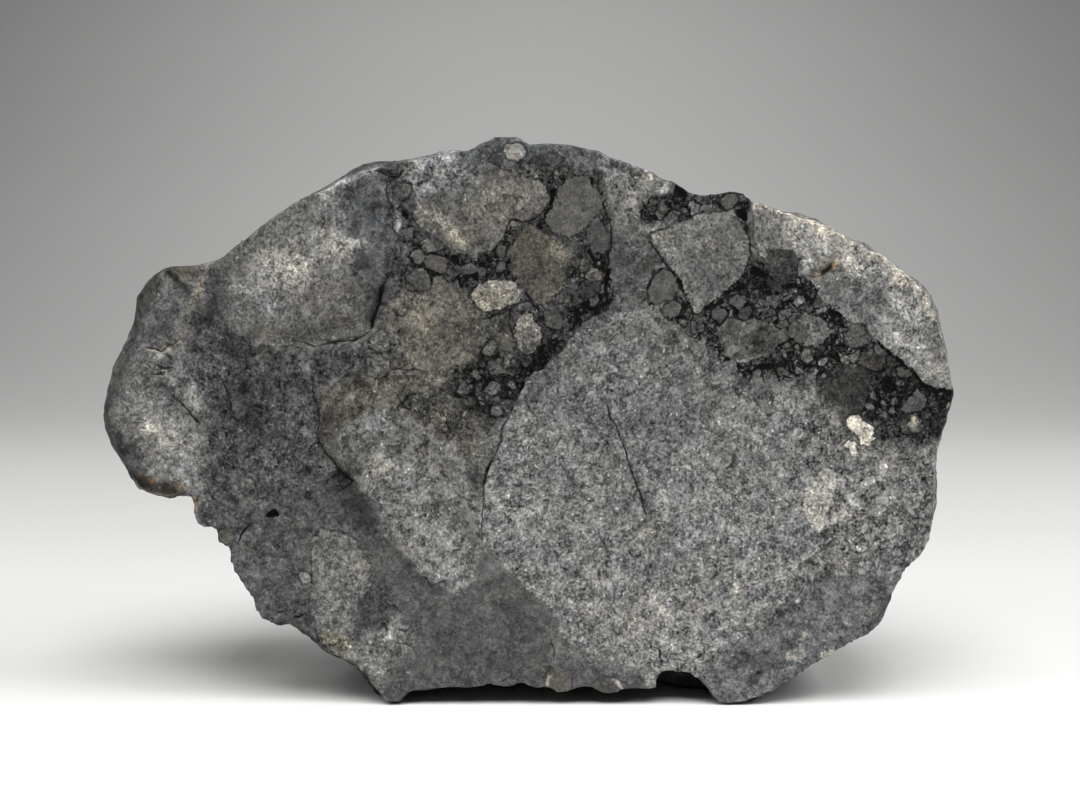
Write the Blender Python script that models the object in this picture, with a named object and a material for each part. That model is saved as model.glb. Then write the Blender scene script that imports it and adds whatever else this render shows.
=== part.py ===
"""Thick sawn slice of a brecciated eucrite meteorite, standing on its lower edge.

Two flat sawn faces look towards -Y and +Y. Between them runs the natural outside of the stone, rounded and
dented by weather. X goes along the slice and Z up. The origin is on the ground, under the middle of the
bounding box. Outlines are in millimetres, as (x, z) on the front sawn face, and the model is in metres.
"""

import math
from collections import namedtuple

import bmesh
import bpy
import numpy as np
from mathutils import Vector, noise

MM = 0.001

# Driving dimensions, in millimetres
THICKNESS = 10.0
POINT_SPACING = 0.55
RIM_BANDS = 9
BACK_EDGE_ROUNDING = 0.25
SMOOTHING_LENGTH = 1.6
LUMP_SIZE = 5.5
LUMP_HEIGHT = 0.8
GRIT_SIZE = 1.5
GRIT_HEIGHT = 0.18
DENT_SPACING = 3.6
DENT_RADIUS = 2.0
DENT_DEPTH = 0.55
ROUGH_FROM_DEPTH = 3.4
CUTTER_CLEARANCE = 1.0

# Quarter round of the front edge: depth and inset as shares of the rounding
FRONT_EDGE = ((0.0, 1.0), (0.12, 0.55), (0.35, 0.22), (1.0, 0.0))

# A stretch of the front face's outline, clockwise. Its ends are corners, and between them it is smooth.
# swell is how far the outside stands out beyond the front outline at half the thickness, back is the same
# at the back sawn face, rounding is the radius of the front edge, and overhang is the depth over which the
# outside runs straight back before it swells.
Stretch = namedtuple("Stretch", "points swell back rounding overhang")

OUTLINE = (
    # left foot and the slope up from it
    Stretch(((-9.2, 0.1), (-9.7, 0.95), (-10.4, 1.8), (-11.3, 2.8), (-12.4, 3.4), (-13.1, 3.7), (-13.7, 4.15),
             (-14.2, 4.7), (-15.0, 5.75)), 1.3, 1.2, 0.35, 0.0),
    # round lobe of the lower left
    Stretch(((-15.0, 5.75), (-15.6, 5.85), (-16.6, 5.45), (-17.1, 5.6), (-17.5, 6.0), (-17.8, 7.0),
             (-18.6, 8.3), (-19.3, 9.7), (-19.2, 10.6)), 0.9, 1.4, 0.2, 0.0),
    # three small steps
    Stretch(((-19.2, 10.6), (-19.6, 10.65), (-19.95, 10.95), (-20.05, 11.9)), 0.6, 1.3, 0.15, 0.0),
    Stretch(((-20.05, 11.9), (-20.9, 11.85), (-21.3, 12.1)), 0.5, 1.2, 0.15, 0.0),
    Stretch(((-21.3, 12.1), (-21.45, 12.7), (-21.5, 13.5), (-21.8, 14.0), (-22.15, 14.15)), 0.5, 1.0, 0.15, 0.0),
    # brown rind under the left lobe
    Stretch(((-22.15, 14.15), (-22.6, 13.95), (-23.1, 13.8), (-23.7, 13.95), (-24.4, 14.15), (-25.0, 14.45),
             (-25.3, 14.95)), 0.9, 0.5, 0.5, 0.0),
    # left lobe
    Stretch(((-25.3, 14.95), (-25.9, 16.1), (-26.35, 16.8), (-26.8, 18.0), (-26.97, 19.1), (-26.8, 20.1),
             (-26.1, 22.1), (-25.5, 23.5)), 1.0, -1.2, 1.0, 0.0),
    Stretch(((-25.5, 23.5), (-25.2, 24.1), (-24.9, 25.0), (-24.6, 26.0), (-24.2, 26.75), (-23.7, 27.3),
             (-23.3, 28.0), (-22.9, 28.35)), 0.8, -1.6, 1.2, 0.0),
    # low saddle between the left lobe and the main body
    Stretch(((-22.9, 28.35), (-22.05, 28.7), (-21.1, 28.85), (-20.3, 28.87), (-19.6, 28.9)), -1.1, -1.8, 0.4, 0.0),
    # long slope of the upper left
    Stretch(((-19.6, 28.9), (-19.0, 29.15), (-18.3, 29.8), (-16.8, 30.9), (-15.1, 32.1), (-14.2, 32.7),
             (-13.4, 33.0), (-12.6, 33.2)), -0.1, -1.8, 0.3, 0.0),
    Stretch(((-12.6, 33.2), (-11.9, 33.65), (-10.4, 34.4), (-8.8, 34.8), (-6.7, 35.25), (-5.0, 35.6),
             (-4.0, 35.75)), 0.0, -1.8, 0.45, 0.0),
    # crown
    Stretch(((-4.0, 35.75), (-3.4, 36.05), (-2.7, 36.35), (-2.0, 36.5), (-1.4, 36.55), (-0.7, 36.5),
             (0.3, 36.05)), -0.4, -2.2, 0.35, 0.0),
    Stretch(((0.3, 36.05), (1.3, 36.15), (3.0, 35.95), (4.2, 35.75), (4.9, 35.3), (6.4, 34.95), (7.3, 34.6),
             (8.8, 34.0), (10.0, 33.2)), -0.2, -2.0, 0.4, 0.0),
    # dip and peak to the right of the crown
    Stretch(((10.0, 33.2), (10.6, 33.0), (11.2, 33.0), (12.1, 33.25), (12.9, 33.35)), -0.9, -1.8, 0.2, 0.0),
    Stretch(((12.9, 33.35), (13.3, 33.2), (13.8, 33.0), (14.05, 32.6)), -2.2, -1.8, 0.2, 0.0),
    # right shoulder
    Stretch(((14.05, 32.6), (15.5, 32.15), (17.0, 31.6)), -0.8, -1.8, 0.3, 0.0),
    Stretch(((17.0, 31.6), (18.8, 30.95), (20.2, 30.15), (21.6, 29.45), (23.1, 28.45), (24.9, 26.95),
             (25.6, 25.7), (26.15, 24.1), (26.65, 22.2), (27.0, 20.5)), 0.5, -1.2, 0.45, 0.0),
    # right end
    Stretch(((27.0, 20.5), (26.75, 19.25), (26.2, 17.6), (25.95, 16.2), (26.05, 14.1), (25.9, 12.4),
             (25.65, 10.8), (25.1, 9.9)), 1.1, 0.1, 0.45, 0.0),
    Stretch(((25.1, 9.9), (24.1, 8.85), (23.7, 8.05), (23.1, 6.7), (23.0, 6.0), (22.75, 5.5), (22.2, 5.0)),
            1.0, 0.8, 0.3, 0.0),
    # slope down to the right foot
    Stretch(((22.2, 5.0), (20.7, 4.05), (19.4, 3.3), (18.25, 2.6), (17.2, 1.8), (16.3, 1.2), (15.5, 0.8),
             (14.5, 0.4), (13.2, 0.05)), 1.4, 1.6, 0.2, 0.0),
    # right foot
    Stretch(((13.2, 0.05), (12.6, 0.1)), 1.2, 1.2, 0.15, 0.5),
    # underside, from the right foot back to the left one
    Stretch(((12.6, 0.1), (12.0, 0.6), (10.6, 1.0), (8.15, 1.05)), 1.25, 1.0, 0.15, 1.6),
    Stretch(((8.15, 1.05), (6.9, 1.05), (6.05, 0.95), (5.4, 0.7), (4.7, 0.85), (4.2, 1.2), (3.4, 1.25),
             (2.95, 1.0), (2.05, 0.9), (1.5, 1.05), (1.15, 1.3)), 1.15, 0.8, 0.15, 1.6),
    Stretch(((1.15, 1.3), (0.6, 1.0), (-0.25, 1.3), (-0.8, 1.25), (-1.15, 1.0), (-1.7, 1.05), (-2.4, 1.3),
             (-3.4, 1.15), (-4.7, 1.1), (-6.65, 1.0), (-7.7, 0.85), (-8.3, 0.1)), 1.15, 0.8, 0.15, 1.6),
    Stretch(((-8.3, 0.1), (-9.2, 0.1)), 1.2, 1.0, 0.4, 0.6),
)

# A break in an edge: the polygon that it takes out of the face, how deep it goes, and the share of the
# polygon's size that is left at that depth
Break = namedtuple("Break", "name outline depth taper")

FRONT_BREAKS = (
    # notch in the lower edge beside the right foot, with an upright left wall
    Break("notch", ((8.15, -1.0), (8.15, 2.25), (8.7, 2.35), (9.5, 2.35), (10.3, 2.15), (11.0, 1.9),
                    (11.5, 1.5), (12.0, 0.95), (12.3, 0.4), (12.5, -1.0)), 3.0, 0.72),
    # chip in the saddle of the upper left, which leaves a ledge behind it
    Break("saddle_chip", ((-23.1, 28.6), (-22.2, 27.9), (-21.3, 27.2), (-20.75, 26.7), (-20.6, 27.4),
                          (-20.1, 28.1), (-19.3, 28.95), (-19.6, 30.0), (-22.6, 30.0)), 1.3, 0.62),
    # small open vug in the lower left
    Break("vug", ((-16.75, 12.45), (-15.95, 12.5), (-15.95, 12.75), (-16.15, 12.98), (-16.4, 13.08),
                  (-16.65, 12.9)), 1.7, 0.6),
)

BACK_BREAKS = (
    Break("crown_chip", ((2.0, 36.0), (2.6, 33.2), (4.4, 32.4), (6.6, 32.9), (8.0, 35.0)), 1.6, 0.6),
    Break("shoulder_chip", ((20.6, 30.0), (20.2, 27.6), (21.6, 26.5), (23.2, 26.6), (24.6, 28.5)), 2.2, 0.5),
    Break("left_chip", ((-27.5, 16.0), (-24.8, 15.9), (-23.7, 17.6), (-24.4, 19.4), (-27.5, 20.2)), 1.5, 0.6),
    Break("low_chip", ((-15.5, 3.2), (-13.6, 5.0), (-11.4, 4.6), (-10.6, 2.4), (-12.5, 1.0)), 1.2, 0.6),
)

STONE_COLOUR = (0.085, 0.085, 0.088, 1.0)
STONE_ROUGHNESS = 0.62


def clear_scene():
    """Removes every object that the file starts with."""
    for thing in list(bpy.data.objects):
        bpy.data.objects.remove(thing, do_unlink=True)


def new_collection(name):
    """A collection linked to the scene."""
    collection = bpy.data.collections.new(name)
    bpy.context.scene.collection.children.link(collection)
    return collection


def stone_material():
    """Dark grey breccia."""
    material = bpy.data.materials.new("eucrite_breccia")
    material.use_nodes = True
    shader = material.node_tree.nodes["Principled BSDF"]
    shader.inputs["Base Color"].default_value = STONE_COLOUR
    shader.inputs["Roughness"].default_value = STONE_ROUGHNESS
    shader.inputs["Metallic"].default_value = 0.0
    return material


def smooth_run(points):
    """Points evenly spaced on a smooth curve through the given ones, without the last."""
    control = [np.array(point) for point in points]
    control = [2 * control[0] - control[1], *control, 2 * control[-1] - control[-2]]
    run = []
    for before, start, end, after in zip(control, control[1:], control[2:], control[3:]):
        steps = max(1, round(float(np.linalg.norm(end - start)) / POINT_SPACING))
        for share in np.arange(steps) / steps:
            bend = 2 * before - 5 * start + 4 * end - after
            twist = 3 * start - before - 3 * end + after
            run.append(start + 0.5 * ((end - before) * share + bend * share**2 + twist * share**3))
    return run


def traced_outline():
    """The front outline's points, and for each its swell, back, rounding and overhang."""
    points = []
    traits = []
    for stretch in OUTLINE:
        run = smooth_run(stretch.points)
        points += run
        traits += [(stretch.swell, stretch.back, stretch.rounding, stretch.overhang)] * len(run)
    return np.array(points), np.array(traits)


def blurred(values):
    """Values round the closed outline, each averaged with its neighbours over the smoothing length."""
    reach = round(SMOOTHING_LENGTH / POINT_SPACING)
    steps = range(-reach, reach + 1)
    shares = [math.exp(-2 * (step / reach) ** 2) for step in steps]
    return sum(np.roll(values, step, axis=0) * share for step, share in zip(steps, shares)) / sum(shares)


def outward(points):
    """Unit vectors that point out of a clockwise outline."""
    along = np.roll(points, -1, axis=0) - np.roll(points, 1, axis=0)
    normals = np.stack([-along[:, 1], along[:, 0]], axis=1)
    return normals / np.linalg.norm(normals, axis=1)[:, None]


def rise(value):
    """A smooth step from 0 to 1."""
    value = np.clip(value, 0.0, 1.0)
    return value * value * (3 - 2 * value)


def weathering(place):
    """How far the natural outside stands out at this place: lumps and grit, less the dents."""
    lumps = noise.noise(place / LUMP_SIZE) * LUMP_HEIGHT
    grit = noise.noise(place / GRIT_SIZE) * GRIT_HEIGHT
    from_dent = noise.voronoi(place / DENT_SPACING)[0][0] * DENT_SPACING
    return lumps + grit - DENT_DEPTH * rise(1.0 - from_dent / DENT_RADIUS)


def section_at(points, calm, normals, traits, depths, inset):
    """The slice's outline as (x, y, z), at each point's own depth and this much inside the natural surface."""
    swell, back, _, overhang = traits.T
    share = np.clip((depths - overhang) / (THICKNESS - overhang), 0.0, 1.0)
    stand_out = swell * 4 * share * (1 - share) + back * share * (2 * share - 1) - inset
    calmness = rise(share * 2.0)[:, None]
    flat = points * (1 - calmness) + calm * calmness
    rough = np.array([weathering(Vector((x, depth, z))) for (x, z), depth in zip(flat, depths)])
    flat += normals * (stand_out + rough * rise(depths / ROUGH_FROM_DEPTH))[:, None]
    return np.stack([flat[:, 0], depths, np.maximum(flat[:, 1], 0.0)], axis=1)


def rings():
    """The closed sections of the slice from the front sawn face to the back one, as (x, y, z) arrays."""
    points, traits = traced_outline()
    calm = blurred(points)
    normals = outward(calm)
    traits = blurred(traits)
    rounding = traits[:, 2]
    full_depth = THICKNESS - BACK_EDGE_ROUNDING
    places = [(rounding * depth, rounding * inset) for depth, inset in FRONT_EDGE]
    for share in np.arange(1, RIM_BANDS + 1) / RIM_BANDS:
        places.append((rounding + (full_depth - rounding) * share, 0.0))
    places.append((np.full(len(points), THICKNESS), BACK_EDGE_ROUNDING))
    return [section_at(points, calm, normals, traits, depths, inset) for depths, inset in places]


def slice_mesh(sections, middle):
    """The slice as a mesh: one section extruded into the next, and a flat cap on each end."""
    shape = bmesh.new()
    loop = [shape.verts.new((place - middle) * MM) for place in sections[0]]
    edges = [shape.edges.new((loop[i - 1], loop[i])) for i in range(len(loop))]
    bmesh.ops.contextual_create(shape, geom=edges)
    for section in sections[1:]:
        made = bmesh.ops.extrude_edge_only(shape, edges=edges)["geom"]
        edges = [item for item in made if isinstance(item, bmesh.types.BMEdge)]
        loop = [item for item in made if isinstance(item, bmesh.types.BMVert)]
        for vertex, place in zip(loop, section):
            vertex.co = (place - middle) * MM
    bmesh.ops.contextual_create(shape, geom=edges)
    return finished_mesh(shape, "meteorite_slice")


def finished_mesh(shape, name):
    """The bmesh as a new mesh with its faces pointing out."""
    bmesh.ops.recalc_face_normals(shape, faces=shape.faces)
    mesh = bpy.data.meshes.new(name)
    shape.to_mesh(mesh)
    shape.free()
    return mesh


def add_cutter(collection, taken, start, end, middle):
    """A cutter that runs from the depth start, clear of the face, to the depth end, where it is smaller."""
    shape = bmesh.new()
    centre = np.mean(taken.outline, axis=0)
    near = shape.faces.new([shape.verts.new((x, start, z)) for x, z in taken.outline])
    made = bmesh.ops.extrude_face_region(shape, geom=[near])["geom"]
    for vertex in (item for item in made if isinstance(item, bmesh.types.BMVert)):
        x, z = centre + (np.array([vertex.co.x, vertex.co.z]) - centre) * taken.taper
        vertex.co = (x, end, z)
    bmesh.ops.translate(shape, verts=shape.verts, vec=-Vector(middle))
    bmesh.ops.scale(shape, verts=shape.verts, vec=(MM, MM, MM))
    cutter = bpy.data.objects.new(taken.name + "_cutter", finished_mesh(shape, taken.name))
    cutter.hide_render = True
    cutter.display_type = "WIRE"
    collection.objects.link(cutter)
    return cutter


def cut(stone, cutter):
    """A Boolean modifier that takes the cutter's shape out of the stone."""
    modifier = stone.modifiers.new(cutter.name, "BOOLEAN")
    modifier.operation = "DIFFERENCE"
    modifier.object = cutter


def main():
    clear_scene()
    stone_collection = new_collection("eucrite_meteorite")
    cutter_collection = new_collection("cutters")
    sections = rings()
    everywhere = np.concatenate(sections)
    middle = (everywhere.min(axis=0) + everywhere.max(axis=0)) / 2
    middle[2] = 0.0
    stone = bpy.data.objects.new("meteorite_slice", slice_mesh(sections, middle))
    stone.data.materials.append(stone_material())
    stone_collection.objects.link(stone)
    for taken in FRONT_BREAKS:
        cut(stone, add_cutter(cutter_collection, taken, -CUTTER_CLEARANCE, taken.depth, middle))
    behind = THICKNESS + CUTTER_CLEARANCE
    for taken in BACK_BREAKS:
        cut(stone, add_cutter(cutter_collection, taken, behind, THICKNESS - taken.depth, middle))


main()
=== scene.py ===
"""A thick sawn slice of a brecciated eucrite meteorite, standing on a pale floor."""

import math
from typing import NamedTuple

import bpy
import numpy as np
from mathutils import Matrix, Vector


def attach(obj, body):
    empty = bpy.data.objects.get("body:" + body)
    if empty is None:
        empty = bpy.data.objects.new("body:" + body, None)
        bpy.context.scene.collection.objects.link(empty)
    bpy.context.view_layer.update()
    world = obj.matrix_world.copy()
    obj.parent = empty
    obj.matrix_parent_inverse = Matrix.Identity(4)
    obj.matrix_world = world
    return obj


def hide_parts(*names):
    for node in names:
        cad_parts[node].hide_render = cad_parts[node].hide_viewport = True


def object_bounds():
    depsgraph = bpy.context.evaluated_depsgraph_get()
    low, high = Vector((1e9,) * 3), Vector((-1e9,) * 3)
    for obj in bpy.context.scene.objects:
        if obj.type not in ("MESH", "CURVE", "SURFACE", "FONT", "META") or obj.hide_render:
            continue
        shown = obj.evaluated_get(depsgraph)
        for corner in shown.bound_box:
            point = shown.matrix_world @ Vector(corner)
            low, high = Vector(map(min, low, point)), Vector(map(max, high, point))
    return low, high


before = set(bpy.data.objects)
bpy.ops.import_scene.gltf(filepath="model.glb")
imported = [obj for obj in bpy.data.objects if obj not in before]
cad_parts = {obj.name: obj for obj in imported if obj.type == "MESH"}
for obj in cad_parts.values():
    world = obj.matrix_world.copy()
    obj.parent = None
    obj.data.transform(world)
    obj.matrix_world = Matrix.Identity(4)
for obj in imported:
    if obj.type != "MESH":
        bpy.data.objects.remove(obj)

bl_info = {
    "name": "Eucrite meteorite slice",
    "version": (1, 0, 0),
    "blender": (4, 5, 0),
    "location": "View3D > Sidebar > Meteorite",
    "description": "Models a sawn slice of brecciated stone and the studio around it",
    "category": "Object",
}

CAD_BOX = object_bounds()
CAD_NODE = "meteorite_slice"
PIECE = "sawn_slice"
BODY = "root"

MM = 0.001
FRONT_Y = CAD_BOX[0].y / MM
BACK_Y = CAD_BOX[1].y / MM
THICKNESS = BACK_Y - FRONT_Y


# Clasts and zones of the sawn face. Tone is the brightness from 0 to 1, warmth runs
# from bluish at -1 to yellowish at 1, and grain is how strongly the crystals stand out
# from each other. A row of a table holds the values of its kind in the order given
# here, and then the corners of its outline or path, x and z by turns. They are in mm,
# x to the right and z up from the middle of the base.


class Zone(NamedTuple):
    """Part of the ground between the clasts, which fades into its neighbours."""

    tone: float
    warmth: float
    grain: float
    rubble: float
    fade: float
    outline: tuple


class Clast(NamedTuple):
    """A fragment with a crisp edge. Outlined is how dark the melt line round it is."""

    tone: float
    warmth: float
    grain: float
    outlined: float
    outline: tuple


class Patch(NamedTuple):
    """A soft light, dark or stained spot along a path, added to what is under it. A few
    are painted shade or painted highlights at edges, a chip and a crease.
    """

    radius: float
    tone: float
    warmth: float
    rust: float
    path: tuple


class Crack(NamedTuple):
    """A thin dark line of some half width through the stone."""

    half_width: float
    path: tuple


POOL_GRAIN = 0.02
OVAL_CORNERS = 11
OVAL_DENT = 0.12
OVAL_SMALL_DENT = 0.10


def laid_out(kind, rows):
    """The rows of a table as things of one kind."""
    own = len(kind._fields) - 1
    return tuple(
        kind(*row[:own], tuple(zip(row[own::2], row[own + 1 :: 2], strict=True)))
        for row in rows
    )


def pool(tone, *corners):
    """The row of a pool of black melt."""
    return tone, 0, POOL_GRAIN, 0, *corners


def oval(tone, warmth, grain, outlined, x, z, half_x, half_z, turn=0):
    """The row of a roundish, dented clast round x and z, turned by some degrees."""
    corners = []
    lean = math.radians(turn)
    for step in range(OVAL_CORNERS):
        angle = math.tau * step / OVAL_CORNERS
        dents = OVAL_DENT * math.sin(2 * angle + 5 * x)
        small_dents = OVAL_SMALL_DENT * math.sin(4 * angle + 7 * z)
        span = 1 + dents + small_dents
        across = span * half_x * math.cos(angle)
        up = span * half_z * math.sin(angle)
        corners += (
            x + across * math.cos(lean) - up * math.sin(lean),
            z + across * math.sin(lean) + up * math.cos(lean),
        )
    return tone, warmth, grain, outlined, *corners


# what lies under every zone: tone, warmth, grain and rubble
BASE_LOOK = (0.42, 0.0, 0.07, 0.0)

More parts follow.
